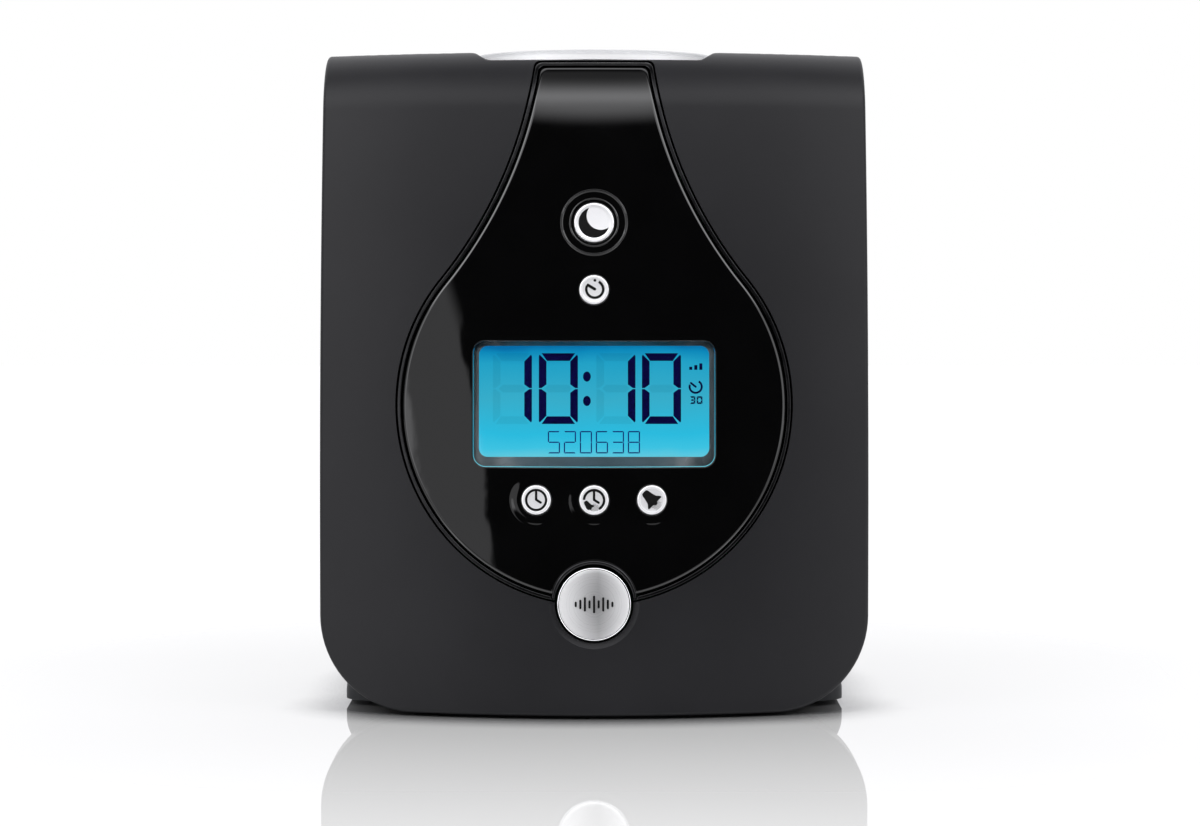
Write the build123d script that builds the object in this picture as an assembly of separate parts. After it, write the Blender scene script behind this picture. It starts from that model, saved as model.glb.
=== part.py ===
from build123d import *
import os
from math import asin, atan2, cos, pi, sin, sqrt

# White noise sound machine with a clock display. Millimetres, +X right, +Y to the back, +Z up.
# The origin is on the table, under the middle of the housing. The front faces -Y.
# A double-curved hood wraps the front and the top. A glossy drop-shaped panel is let into it,
# a round dial lies in its top, and a narrower cabinet with a rear loudspeaker stands behind it.

# ---------------------------------------------------------------- overall form
WIDTH = 165.0            # across the hood
DEPTH = 128.8            # front-most rim to rear lip
HOOD_TOP = 199.0         # height of the hood's flat top
HOOD_BOTTOM = 1.0        # gap between the hood's lower edge and the table
BOW_R = 200.0            # plan radius of the bowed front
FRONT_R = 700.0          # side-view radius of the front
WAIST_Z = 34.5           # height of the front-most point, where the large button sits
BROW_R = 22.0            # roundover from front to top
CORNER_R = 28.0          # lower corners in the front view
REAR_CORNER_R = 16.0     # rear corners of the top in plan
EDGE_R = 1.2             # outer edge of the hood
WALL = 2.5               # moulded wall of hood, cabinet and plinth
RETURN_DEPTH = 14.0      # how far the hood's sides reach back from its front face

# ---------------------------------------------------------------- clearances
FIT = 0.3                # between pieces that don't touch
SLIP = 0.08              # radial, a shaft turning or sliding in its bore
THREAD = 0.05            # radial, a screw in its pilot hole
LOOSE = 0.3              # radial, a screw in a clearance hole
SKIN = 0.05              # between two curved skins that lie on each other

# ---------------------------------------------------------------- drop panel and its trim
BULB_R = 59.1            # round lower part of the opening
BULB_Z = 92.9
NECK_R = 127.9           # hollow flanks that lead up to the neck
NECK_HALF_WIDTH = 17.9   # at the top of the neck
NECK_TOP = 195.6
NECK_CORNER_R = 2.0
TRIM_GAP = 0.5           # dark joint between hood and trim
TRIM_WIDTH = 1.1
TRIM_PROUD = 0.25
PANEL_GAP = 0.3          # joint between trim and panel
PANEL_PROUD = 0.4
PANEL_EDGE_R = 1.3       # rounded edge of the panel
FLANGE_WIDTH = 2.5       # hidden flange beyond the opening
FLANGE_T = 1.2

# ---------------------------------------------------------------- display
WINDOW_W = 71.6
WINDOW_H = 37.0
WINDOW_R = 3.6
WINDOW_Z = 93.3
WINDOW_T = 1.5
WINDOW_SINK = 0.2        # face of the window behind the hood's surface
LCD_W = 74.0
LCD_H = 39.2
LCD_T = 2.8
LCD_DEPTH = 5.4          # face of the LCD glass behind the front, at its middle
GUIDE_T = 4.0            # backlight block
HOLDER_WALL = 1.2

# ---------------------------------------------------------------- front buttons
SMALL_BUTTON_R = 4.35
MOON_BUTTON_R = 5.9
SOUNDS_BUTTON_R = 10.9
BUTTON_ROW_Z = 65.2      # three buttons under the display
BUTTON_PITCH = 17.0
TIMER_Z = 127.0
MOON_Z = 146.8
BUTTON_GAP = 0.25        # round each small button
SOUNDS_GAP = 0.75        # round the large button
BUTTON_TRAVEL = 1.0
BUTTON_PROUD = 0.35      # above the surface around it
BUTTON_EDGE_R = 0.4
BUTTON_LIP = 1.1         # retaining flange, beyond the button's side
BUTTON_LIP_T = 1.2
WELL_DEPTH = 6.0         # length of the sleeve that guides a button
WELL_WALL = 1.3
SLEEVE_RIM = 1.2         # full ring at the inner end of the large button's sleeve
DISH_R = 7.0             # shallow dish round a small button
MOON_DISH_R = 9.9
DISH_DEPTH = 0.8
COLLAR_WIDTH = 0.8       # raised ring round the moon button
SOUNDS_RIM_IN = 1.6      # raised rim over the large button, from the button's side
SOUNDS_RIM_WIDTH = 1.3
SOUNDS_RIM_H = 0.5
LEAD_IN = 0.8            # chamfer of the hood round the large button
STEM_R = 1.5

# ---------------------------------------------------------------- control board
BOARD_DEPTH = 17.0       # face of the board behind the front, at the display's middle
BOARD_T = 1.6
BOARD_HALF_W = 43.0
BOARD_LOW_Z = 24.0
BOARD_HIGH_Z = 162.0
BOARD_POST_X = 38.5
BOARD_POST_LOW_Z = 28.5
BOARD_POST_HIGH_Z = 157.5
POST_R = 3.2
SWITCH_W = 6.0
SWITCH_T = 3.5
PLUNGER_R = 1.7
PLUNGER_H = 0.8

# ---------------------------------------------------------------- dial and snooze button
DIAL_Y = 2.0             # middle of the dial
DIAL_R = 37.5
DIAL_GAP = 2.0           # moat between the dial and the recess wall
DIAL_RIM_TOP = 199.2
DIAL_CROWN = 0.8         # rise from rim to middle
DIAL_T = 2.2
RECESS_DEPTH = 3.6
RECESS_WALL = 1.2
RECESS_FLOOR_T = 2.0
SNOOZE_R = 14.6
SNOOZE_GAP = 0.4
SNOOZE_TRAVEL = 1.2
SNOOZE_SINK = 0.3        # its crown below the dial's crown
SNOOZE_T = 2.2
SNOOZE_SKIRT = 4.4
DIAL_EDGE_R = 0.9
DIMPLE_R = 7.5           # finger dimple
DIMPLE_DEPTH = 1.2
CUP_WALL = 1.5           # cup in the dial that holds the snooze button
CUP_DROP = 7.5           # floor of that cup below the rim
HUB_R = 6.0
HUB_BORE_R = 3.0
BUSH_WALL = 3.0
BUSH_LENGTH = 3.4
CLIP_T = 1.0
CLIP_WIDTH = 2.2
ENCODER_W = 22.0
ENCODER_H = 6.3
HUB_ENGAGE = 1.5         # how far the hub reaches into the encoder
TOP_BOARD_W = 58.0
TOP_BOARD_D = 40.0
TOP_POST_X = 24.0
TOP_POST_Y = 15.0

# ---------------------------------------------------------------- cabinet behind the hood
FRAME_T = 2.5            # closing frame behind the hood
FRAME_BOSS = 4.0
FRAME_LOW_Z = 20.0
FRAME_HIGH_Z = 172.0
FRAME_TOP_HALF_W = 50.0
FRAME_TOP_FRONT_Y = -22.0
FRAME_TOP_BACK_Y = 48.0
CABINET_HALF_W = 73.0
CABINET_BACK_Y = 60.0
CABINET_CORNER_R = 14.0
REAR_OPENING_HALF_W = 56.0
REAR_OPENING_LOW_Z = 15.0
REAR_OPENING_HIGH_Z = 177.0
REAR_OPENING_R = 8.0
LEDGE_WIDTH = 5.0
LEDGE_T = 2.0
COVER_SCREW_IN = 5.0     # cover screws, in from the opening's edges
COVER_BOSS = 10.0
BASE_BOSS = 16.0
FRAME_SCREW_X = 66.0
FRAME_SCREW_HEIGHTS = (28.0, 98.0, 164.0)
CABINET_SCREW_X = 66.8
CABINET_SCREW_HEIGHTS = (56.0, 140.0)
CABINET_BOSS_LENGTH = 14.0

# ---------------------------------------------------------------- loudspeaker and grille
SPEAKER_Z = 102.0
GRILLE_R = 37.0
GRILLE_T = 1.6
GRILLE_FLANGE = 2.6
GRILLE_FLANGE_T = 1.0
SLOT_FIELD_R = 33.5
SLOT_H = 2.0
SLOT_PITCH = 4.2
SLOT_RIB = 2.2           # ribs that cross the slots
RIB_PITCH = 22.0
GASKET_T = 1.0
SPEAKER_FLANGE_T = 1.4
SPEAKER_EAR = 33.0       # screw ears, each way from the middle
CONE_R = 29.0
CONE_DEPTH = 13.0
CONE_T = 0.8
COIL_R = 10.0
SURROUND_R = 35.0
BASKET_DEPTH = 22.0
BASKET_BACK_R = 22.0
BASKET_T = 1.2
BASKET_WINDOW = 24.0
SURROUND_T = 0.7
MAGNET_R = 26.0
MAGNET_T = 15.0

# ---------------------------------------------------------------- plinth, battery door, feet
PLINTH_BOTTOM = 1.8
PLINTH_TOP = 10.0
PLINTH_HALF_W = 76.0
PLINTH_BACK_Y = 58.0
PLINTH_CORNER_R = 17.0
PLINTH_ROUND = 12.0      # quarter round up its sides
PLINTH_FLOOR = 4.0
PLINTH_RIM = 14.0        # solid rim round the hollow of the plinth
PLINTH_FRONT_R = 8.0
HOLLOW_FRONT_Y = -26.0
DOOR_HALF_W = 30.0
DOOR_FRONT_Y = -21.0
DOOR_T = 2.0
DOOR_TONGUE = 1.4
DOOR_TONGUE_T = 0.8
GRIP_COUNT = 4
GRIP_PITCH = 2.4
GRIP_W = 1.0
GRIP_HALF_W = 12.0
CELL_R = 7.1
CELL_LENGTH = 50.0
CELL_COUNT = 3
BAY_WALL = 1.5
CONTACT_T = 0.5
FOOT_R = 7.0
FOOT_SEAT = 0.8
FOOT_X = 55.0
FOOT_FRONT_Y = -24.0
FOOT_BACK_Y = 44.0
BASE_SCREW_X = 66.8
BASE_SCREW_FRONT_Y = -12.0
BASE_SCREW_BACK_Y = 32.0

# ---------------------------------------------------------------- jacks
JACK_Z = 28.0
POWER_JACK_X = -14.0
AUDIO_JACK_X = 14.0
AUDIO_BORE_R = 1.8       # takes a 3.5 mm plug
AUDIO_BORE_DEPTH = 14.0
AUDIO_NOSE_R = 3.0
POWER_BORE_R = 2.8       # takes a 5.5 mm barrel plug
POWER_PIN_R = 1.05
POWER_PIN_LENGTH = 8.0
POWER_NOSE_R = 4.2
POWER_PIN_SINK = 1.0     # tip of the pin inside the mouth
JACK_BODY_W = 11.0
JACK_BODY_L = 15.0
IO_BOARD_W = 54.0
IO_BOARD_D = 20.0
IO_POST_X = 23.0
IO_POST_Y = 41.0

# ---------------------------------------------------------------- screws
SCREW_R = 1.5
SCREW_HEAD_R = 2.8
SCREW_HEAD_T = 1.4
BOSS_R = 4.2
BOARD_SCREW = 6.0
FRAME_SCREW = 8.0
CABINET_SCREW = 20.0
COVER_SCREW = 9.0
SPEAKER_SCREW = 4.6
BASE_SCREW = 14.0
BASE_SCREW_SEAT = 4.8    # height of the screw heads' seat in the plinth

# ---------------------------------------------------------------- derived values
FRONT_Y = -DEPTH / 2 + PANEL_PROUD + SOUNDS_RIM_H    # the hood itself, at its waist
BACK_Y = DEPTH / 2
BOW_AXIS_Y = FRONT_Y + BOW_R
FRONT_AXIS_Y = FRONT_Y + FRONT_R
SOUNDS_Z = WAIST_Z
BROW_Z = HOOD_TOP - BROW_R
BROW_Y = FRONT_AXIS_Y - sqrt((FRONT_R - BROW_R) ** 2 - (BROW_Z - WAIST_Z) ** 2)
FAR = 400.0              # past the object, for cutting bodies
DIAGONAL = sqrt(0.5)

SEAT = WALL + FIT                          # depth at which hidden pieces start
FRAME_FRONT = RETURN_DEPTH - FRAME_T       # depth of the closing frame's front
CABINET_DEPTH = RETURN_DEPTH + FIT         # depth at which the cabinet starts
PANEL_BACK = SEAT + FLANGE_T
TRIM_INSET = TRIM_GAP + TRIM_WIDTH
PANEL_INSET = TRIM_INSET + PANEL_GAP

RECESS_R = DIAL_R + DIAL_GAP
RECESS_FLOOR = HOOD_TOP - RECESS_DEPTH
CUP_R = SNOOZE_R + SNOOZE_GAP
CUP_FLOOR = DIAL_RIM_TOP - CUP_DROP
WELL_R = CUP_R + CUP_WALL + SNOOZE_GAP
WELL_FLOOR = CUP_FLOOR - FIT
BUSH_BOTTOM = WELL_FLOOR - BUSH_LENGTH
CLIP_TOP = BUSH_BOTTOM - FIT
ENCODER_TOP = CLIP_TOP - CLIP_T - FIT
HUB_BOTTOM = ENCODER_TOP - HUB_ENGAGE
TOP_BOARD_TOP = ENCODER_TOP - ENCODER_H
TOP_SWITCH_TOP = TOP_BOARD_TOP + SWITCH_T + PLUNGER_H
SNOOZE_TOP = DIAL_RIM_TOP + DIAL_CROWN - SNOOZE_SINK
SNOOZE_STEM_END = TOP_SWITCH_TOP + SNOOZE_TRAVEL + FIT

COVER_IN_Y = CABINET_BACK_Y - WALL
FLANGE_Y = COVER_IN_Y - GRILLE_FLANGE_T - GASKET_T
BASKET_Y = FLANGE_Y - SPEAKER_FLANGE_T
MAGNET_Y = FLANGE_Y - BASKET_DEPTH

DOOR_BOTTOM = PLINTH_BOTTOM
CHANNEL_TOP = DOOR_BOTTOM + DOOR_T + FIT
CELL_PITCH = 2 * CELL_R + FIT
BAY_HALF_W = CELL_LENGTH / 2 + 3 * CONTACT_T
BAY_D = CELL_COUNT * CELL_PITCH + FIT
BAY_FRONT_Y = DOOR_FRONT_Y + 5.0
BAY_TOP = CHANNEL_TOP + 2 * CELL_R + FIT
JACK_FLOOR = JACK_Z - JACK_BODY_W / 2
IO_BOARD_TOP = JACK_FLOOR


# ---------------------------------------------------------------- surfaces of the outer form
def face_y(z, inset=0.0):
    """Y of the front on its centre line, below the brow, at a depth inside the surface."""
    return FRONT_AXIS_Y - sqrt((FRONT_R - inset) ** 2 - (z - WAIST_Z) ** 2)


def bowed_y(x, z, inset=0.0):
    """Y of the front below the brow, at a depth inside the surface."""
    return BOW_AXIS_Y - sqrt((BOW_AXIS_Y - face_y(z, inset)) ** 2 - x ** 2)


def front_form(inset=0.0):
    """Everything behind the front, brow and top, at a depth inside that surface."""
    low_z = -FAR / 10
    brow_angle = atan2(BROW_Z - WAIST_Z, FRONT_AXIS_Y - BROW_Y)
    front_r = FRONT_R - inset
    brow_r = BROW_R - inset
    low_angle = asin((low_z - WAIST_Z) / front_r)
    brow_middle = (brow_angle + pi / 2) / 2

    def on_front(angle):
        return Vector(0, FRONT_AXIS_Y - front_r * cos(angle), WAIST_Z + front_r * sin(angle))

    def on_brow(angle):
        return Vector(0, BROW_Y - brow_r * cos(angle), BROW_Z + brow_r * sin(angle))

    foot = Vector(0, BOW_AXIS_Y, on_front(low_angle).Z)
    head = Vector(0, BOW_AXIS_Y, BROW_Z + brow_r)
    front_middle = (low_angle + brow_angle) / 2
    outline = Wire([
        Edge.make_three_point_arc(on_front(low_angle), on_front(front_middle), on_front(brow_angle)),
        Edge.make_three_point_arc(on_brow(brow_angle), on_brow(brow_middle), on_brow(pi / 2)),
        Edge.make_line(on_brow(pi / 2), head),
        Edge.make_line(head, foot),
        Edge.make_line(foot, on_front(low_angle)),
    ])
    bow_axis = Axis((0, BOW_AXIS_Y, 0), (0, 0, 1))
    return revolve(Face(outline).rotate(bow_axis, -90), bow_axis, 180)


def elevation_form(inset=0.0):
    """The front-view outline, drawn through from front to back."""
    half = WIDTH / 2 - inset
    low = HOOD_BOTTOM + inset
    high = HOOD_TOP + FIT
    radius = CORNER_R - inset
    corner_x = WIDTH / 2 - CORNER_R
    corner_z = HOOD_BOTTOM + CORNER_R

    def at(x, z):
        return Vector(x, -FAR / 2, z)

    def corner(side):
        middle = at(side * (corner_x + radius * DIAGONAL), corner_z - radius * DIAGONAL)
        return Edge.make_three_point_arc(at(side * corner_x, low), middle, at(side * half, corner_z))

    outline = Wire([
        Edge.make_line(at(-corner_x, low), at(corner_x, low)),
        corner(1),
        Edge.make_line(at(half, corner_z), at(half, high)),
        Edge.make_line(at(half, high), at(-half, high)),
        Edge.make_line(at(-half, high), at(-half, corner_z)),
        corner(-1),
    ])
    return extrude(Face(outline), amount=FAR, dir=(0, 1, 0))


def rounded_plan(half_width, front_y, back_y, corner_r, low_z, high_z):
    """An upright block with its two rear corners rounded in plan."""
    middle = ((front_y + back_y) / 2, (low_z + high_z) / 2)
    block = Pos(0, *middle) * Box(2 * half_width, back_y - front_y, high_z - low_z)
    rear = [edge for edge in block.edges().filter_by(Axis.Z) if edge.center().Y > middle[0]]
    return fillet(rear, corner_r)


def hood_form(inset=0.0):
    """The hood's outer volume, at a depth inside its surface."""
    plan = rounded_plan(WIDTH / 2 - inset, -FAR / 2, BACK_Y - inset, REAR_CORNER_R - inset, -FAR / 10, FAR)
    return front_form(inset) & elevation_form(inset) & plan


def band(outer, inner):
    """A curved plate between two depths under the front and top surface."""
    return front_form(outer) - front_form(inner)


def drop_prism(inset=0.0, back_y=BROW_Y):
    """The drop-shaped opening, drawn through the front. A larger inset makes it smaller."""
    reach = BULB_R + NECK_R
    span = sqrt(NECK_HALF_WIDTH ** 2 + (NECK_TOP - BULB_Z) ** 2)
    along = (NECK_R ** 2 - reach ** 2 + span ** 2) / (2 * span)
    across = sqrt(NECK_R ** 2 - along ** 2)
    ux = -NECK_HALF_WIDTH / span
    uz = (BULB_Z - NECK_TOP) / span
    flank_x = NECK_HALF_WIDTH + ux * along - uz * across
    flank_z = NECK_TOP + uz * along + ux * across
    bulb = BULB_R - inset
    flank = NECK_R + inset
    top_z = NECK_TOP - inset
    top_x = flank_x - sqrt(flank ** 2 - (top_z - flank_z) ** 2)
    join_x = flank_x * bulb / reach
    join_z = BULB_Z + (flank_z - BULB_Z) * bulb / reach
    join_angle = atan2(join_z - flank_z, join_x - flank_x)
    top_angle = atan2(top_z - flank_z, top_x - flank_x)
    middle_angle = (join_angle % (2 * pi) + top_angle % (2 * pi)) / 2

    def at(x, z):
        return Vector(x, -FAR / 2, z)

    def flank_arc(side):
        middle = at(side * (flank_x + flank * cos(middle_angle)), flank_z + flank * sin(middle_angle))
        return Edge.make_three_point_arc(at(side * join_x, join_z), middle, at(side * top_x, top_z))

    outline = Wire([
        Edge.make_three_point_arc(at(join_x, join_z), at(0, BULB_Z - bulb), at(-join_x, join_z)),
        flank_arc(-1),
        Edge.make_line(at(-top_x, top_z), at(top_x, top_z)),
        flank_arc(1),
    ])
    prism = extrude(Face(outline), amount=FAR / 2 + back_y, dir=(0, 1, 0))
    top_edges = [edge for edge in prism.edges().filter_by(Axis.Y) if edge.center().Z > top_z - FIT]
    return fillet(top_edges, NECK_CORNER_R)


def disc(radius, low, high):
    """A cylinder along Z between two heights."""
    return Pos(0, 0, (low + high) / 2) * Cylinder(radius, high - low)


def sounds_disc(radius, low, high):
    """A cylinder on the large button's axis, with its seam on the centre plane."""
    return SOUNDS_FRAME * (Rot(0, 0, 90) * disc(radius, low, high))


def tube(outer, inner, low, high):
    return disc(outer, low, high) - disc(inner, low - FIT, high + FIT)


def block(x0, x1, y0, y1, z0, z1):
    return Pos((x0 + x1) / 2, (y0 + y1) / 2, (z0 + z1) / 2) * Box(x1 - x0, y1 - y0, z1 - z0)


def facing_back(x, z):
    """A frame at a point of the back, with its own z axis towards +Y."""
    return Plane(origin=(x, 0, z), x_dir=(-1, 0, 0), z_dir=(0, 1, 0))


def circles_at(shape, height):
    """The round edges of a shape at a height on its own z axis."""
    return [e for e in shape.edges().filter_by(GeomType.CIRCLE) if abs(e.center().Z - height) < SKIN]


def screw(length, head_side=0.0):
    """A pan-head screw along its own z: the head's seat at head_side, the shank below it."""
    head = disc(SCREW_HEAD_R, head_side, head_side + SCREW_HEAD_T)
    rim = circles_at(head, head_side + SCREW_HEAD_T)
    drive = Pos(0, 0, head_side + SCREW_HEAD_T) * (Box(2.8, 0.7, 1.6) + Box(0.7, 2.8, 1.6))
    return fillet(rim, 0.6) - drive + disc(SCREW_R, head_side - length, head_side)


# ---------------------------------------------------------------- front button frames
def face_frame(x, z):
    """A frame on the front surface: its own z axis points straight out of the surface."""
    y = bowed_y(x, z)
    rise = (z - WAIST_Z) / FRONT_R
    forward = sqrt(1 - rise ** 2)
    radius = BOW_AXIS_Y - face_y(z)
    out = Vector(forward * x / radius, -forward * (BOW_AXIS_Y - y) / radius, rise)
    across = Vector(BOW_AXIS_Y - y, x, 0)
    return Plane(origin=(x, y, z), x_dir=across, z_dir=out)


DISPLAY_FRAME = face_frame(0, WINDOW_Z)
SMALL_BUTTONS = {
    "timer_button": (0, TIMER_Z),
    "clock_button": (-BUTTON_PITCH, BUTTON_ROW_Z),
    "alarm_set_button": (0, BUTTON_ROW_Z),
    "alarm_button": (BUTTON_PITCH, BUTTON_ROW_Z),
}
BUTTONS = {name: (face_frame(*place), SMALL_BUTTON_R) for name, place in SMALL_BUTTONS.items()}
BUTTONS["moon_button"] = (face_frame(0, MOON_Z), MOON_BUTTON_R)
BUTTONS["sounds_button"] = (face_frame(0, SOUNDS_Z), SOUNDS_BUTTON_R)
SOUNDS_FRAME = BUTTONS["sounds_button"][0]
SOUNDS_BORE_R = SOUNDS_BUTTON_R + SOUNDS_GAP


def board_point(frame, above):
    """Where a button's axis meets the plane that lies 'above' the control board's face."""
    normal = DISPLAY_FRAME.z_dir
    target = DISPLAY_FRAME.origin - normal * (BOARD_DEPTH - above)
    length = (frame.origin - target).dot(normal) / frame.z_dir.dot(normal)
    return frame.origin - frame.z_dir * length, length


def on_board(x, z, depth):
    """A frame on the control board's normal, through the front-view point (x, z)."""
    normal = DISPLAY_FRAME.z_dir
    up = DISPLAY_FRAME.y_dir
    origin = DISPLAY_FRAME.origin - normal * depth
    run = (z - origin.Z) / up.Z
    return Plane(origin=origin + up * run + Vector(x, 0, 0), x_dir=(1, 0, 0), z_dir=normal)


BOARD_POSTS = [(side * BOARD_POST_X, z) for z in (BOARD_POST_LOW_Z, BOARD_POST_HIGH_Z) for side in (-1, 1)]
FRAME_SCREWS = [(side * FRAME_SCREW_X, z) for z in FRAME_SCREW_HEIGHTS for side in (-1, 1)]
CABINET_SCREWS = [(side * CABINET_SCREW_X, z) for z in CABINET_SCREW_HEIGHTS for side in (-1, 1)]
TOP_POSTS = [(i * TOP_POST_X, DIAL_Y + j * TOP_POST_Y) for i in (-1, 1) for j in (-1, 1)]
COVER_SCREWS = [
    (side * (REAR_OPENING_HALF_W - COVER_SCREW_IN), z)
    for z in (REAR_OPENING_LOW_Z + COVER_SCREW_IN, REAR_OPENING_HIGH_Z - COVER_SCREW_IN)
    for side in (-1, 1)
]
BASE_SCREWS = [(side * BASE_SCREW_X, y) for y in (BASE_SCREW_FRONT_Y, BASE_SCREW_BACK_Y) for side in (-1, 1)]
IO_POSTS = [(side * IO_POST_X, IO_POST_Y) for side in (-1, 1)]
FEET = [(side * FOOT_X, y) for y in (FOOT_FRONT_Y, FOOT_BACK_Y) for side in (-1, 1)]
SPEAKER_SCREWS = [(i * SPEAKER_EAR, SPEAKER_Z + j * SPEAKER_EAR) for i in (-1, 1) for j in (-1, 1)]


# ---------------------------------------------------------------- hood
def along_y(x, z, radius, y0, y1):
    """A cylinder along Y."""
    return facing_back(x, z) * disc(radius, y0, y1)


def dial_place(shape):
    return Pos(0, DIAL_Y, 0) * shape


def recess_clearance(gap):
    """The space that the recess wall of the dial takes up, with a gap round it."""
    return dial_place(disc(RECESS_R + RECESS_WALL + gap, 0, FAR))


def build_front_shell():
    solid = hood_form()
    rim = [e for e in solid.edges() if e.geom_type == GeomType.BSPLINE and e.center().Y < 0]
    recess = disc(RECESS_R + RECESS_WALL, RECESS_FLOOR - RECESS_FLOOR_T, HOOD_TOP)
    recess += disc(WELL_R + RECESS_WALL, WELL_FLOOR - RECESS_FLOOR_T, RECESS_FLOOR)
    recess += disc(HUB_R + SLIP + BUSH_WALL, BUSH_BOTTOM, WELL_FLOOR)
    hollow = hood_form(WALL) - dial_place(recess)
    shell = fillet(rim, EDGE_R) - hollow - front_form(RETURN_DEPTH)
    shell -= drop_prism() - recess_clearance(0)
    shell -= dial_place(disc(RECESS_R, RECESS_FLOOR, FAR))
    shell -= dial_place(disc(WELL_R, WELL_FLOOR, FAR))
    shell -= dial_place(disc(HUB_R + SLIP, BUSH_BOTTOM - FIT, FAR))

    wall_middle = front_form(WALL / 2)
    pilot_stop = front_form(2 * WALL)
    for x, z in BOARD_POSTS:
        place = on_board(x, z, BOARD_DEPTH)
        shell += place * disc(POST_R, 0, 2 * BOARD_DEPTH) & wall_middle
        shell -= place * disc(SCREW_R + THREAD, -FIT, 2 * BOARD_DEPTH) & pilot_stop
    for x, z in FRAME_SCREWS:
        shell += along_y(x, z, BOSS_R, FRONT_Y, 0) & (wall_middle - front_form(FRAME_FRONT))
        shell -= along_y(x, z, SCREW_R + THREAD, FRONT_Y, 0) & pilot_stop
    for x, y in TOP_POSTS:
        shell += Pos(x, y, 0) * disc(POST_R, TOP_BOARD_TOP, RECESS_FLOOR - RECESS_FLOOR_T)
        shell -= Pos(x, y, 0) * disc(SCREW_R + THREAD, TOP_BOARD_TOP - FIT, RECESS_FLOOR - RECESS_FLOOR_T - FIT)

    sleeve = sounds_disc(SOUNDS_BORE_R + WELL_WALL, -WELL_DEPTH, -EDGE_R)
    panel_space = Pos(0, BULB_Z - SOUNDS_Z, 0) * disc(BULB_R + FIT, SLEEVE_RIM - WELL_DEPTH, 0)
    shell += sleeve - SOUNDS_FRAME * panel_space
    shell -= sounds_disc(SOUNDS_BORE_R, -WELL_DEPTH - FIT, WELL_DEPTH)
    lead_in = Cone(SOUNDS_BORE_R, SOUNDS_BORE_R + 2 * LEAD_IN, 2 * LEAD_IN)
    return shell - SOUNDS_FRAME * (Rot(0, 0, 90) * lead_in)


# ---------------------------------------------------------------- drop panel and trim
def window_prism(gap=0.0, low=-FAR / 10, high=FAR / 10):
    """The display window's outline, drawn through along its own normal."""
    outline = RectangleRounded(WINDOW_W + 2 * gap, WINDOW_H + 2 * gap, WINDOW_R + gap)
    return DISPLAY_FRAME * (Pos(0, 0, low) * extrude(outline, high - low))


def display_block(margin, far_depth, near_depth):
    """A block behind the display: the LCD's outline with a margin, between two depths."""
    return DISPLAY_FRAME * block(
        -LCD_W / 2 - margin, LCD_W / 2 + margin, -LCD_H / 2 - margin, LCD_H / 2 + margin, -far_depth, -near_depth
    )


def dish(radius):
    """A shallow bowl with its rim on the panel's surface."""
    bowl_r = (radius ** 2 + DISH_DEPTH ** 2) / (2 * DISH_DEPTH)
    return Pos(0, 0, PANEL_PROUD - DISH_DEPTH + bowl_r) * Sphere(bowl_r)


def build_face_panel():
    raised = band(-PANEL_PROUD, PANEL_BACK) & drop_prism(PANEL_INSET)
    front_edges = [e for e in raised.edges() if e.center().Y < face_y(e.center().Z, PANEL_BACK / 2)]
    flange = band(SEAT, PANEL_BACK) & drop_prism(-FLANGE_WIDTH)
    flange -= sounds_disc(SOUNDS_BORE_R + WELL_WALL + FIT, -WELL_DEPTH, WELL_DEPTH)
    panel = fillet(front_edges, PANEL_EDGE_R) + flange
    panel -= recess_clearance(FIT)
    panel -= window_prism()
    panel -= display_block(FIT + HOLDER_WALL + FIT, FAR / 10, LCD_DEPTH - FIT)

    for name, (place, radius) in BUTTONS.items():
        if name == "sounds_button":
            continue
        moon = name == "moon_button"
        bore = radius + BUTTON_GAP
        panel += place * disc(bore + WELL_WALL, -WELL_DEPTH, -FIT)
        panel -= place * dish(MOON_DISH_R if moon else DISH_R)
        if moon:
            panel += place * disc(bore + COLLAR_WIDTH, -FIT, PANEL_PROUD)
        panel -= place * disc(bore, -WELL_DEPTH - FIT, WELL_DEPTH)

    rim_in = SOUNDS_BUTTON_R + SOUNDS_RIM_IN
    rim = sounds_disc(rim_in + SOUNDS_RIM_WIDTH, -PANEL_PROUD, PANEL_PROUD + SOUNDS_RIM_H)
    panel += rim & drop_prism(PANEL_INSET + FIT)
    panel -= sounds_disc(rim_in, PANEL_PROUD, WELL_DEPTH)
    return panel - sounds_disc(SOUNDS_BORE_R, -WELL_DEPTH, WELL_DEPTH)


def build_trim_ring():
    ring = band(-TRIM_PROUD, SEAT) & (drop_prism(TRIM_GAP) - drop_prism(TRIM_INSET))
    ring -= recess_clearance(SKIN)
    return ring - sounds_disc(SOUNDS_BORE_R, -WELL_DEPTH, WELL_DEPTH)


# ---------------------------------------------------------------- display
def build_display_window():
    return band(WINDOW_SINK, WINDOW_SINK + WINDOW_T) & window_prism(-SKIN)


def build_lcd_holder():
    guide_back = LCD_DEPTH + LCD_T + GUIDE_T
    holder = display_block(FIT + HOLDER_WALL, BOARD_DEPTH, LCD_DEPTH)
    holder -= display_block(FIT, guide_back, 0)
    return holder - display_block(-HOLDER_WALL, BOARD_DEPTH + FIT, 0)


def build_lcd_glass():
    return display_block(0, LCD_DEPTH + LCD_T, LCD_DEPTH)


def build_lcd_light_guide():
    return display_block(0, LCD_DEPTH + LCD_T + GUIDE_T, LCD_DEPTH + LCD_T)


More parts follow.
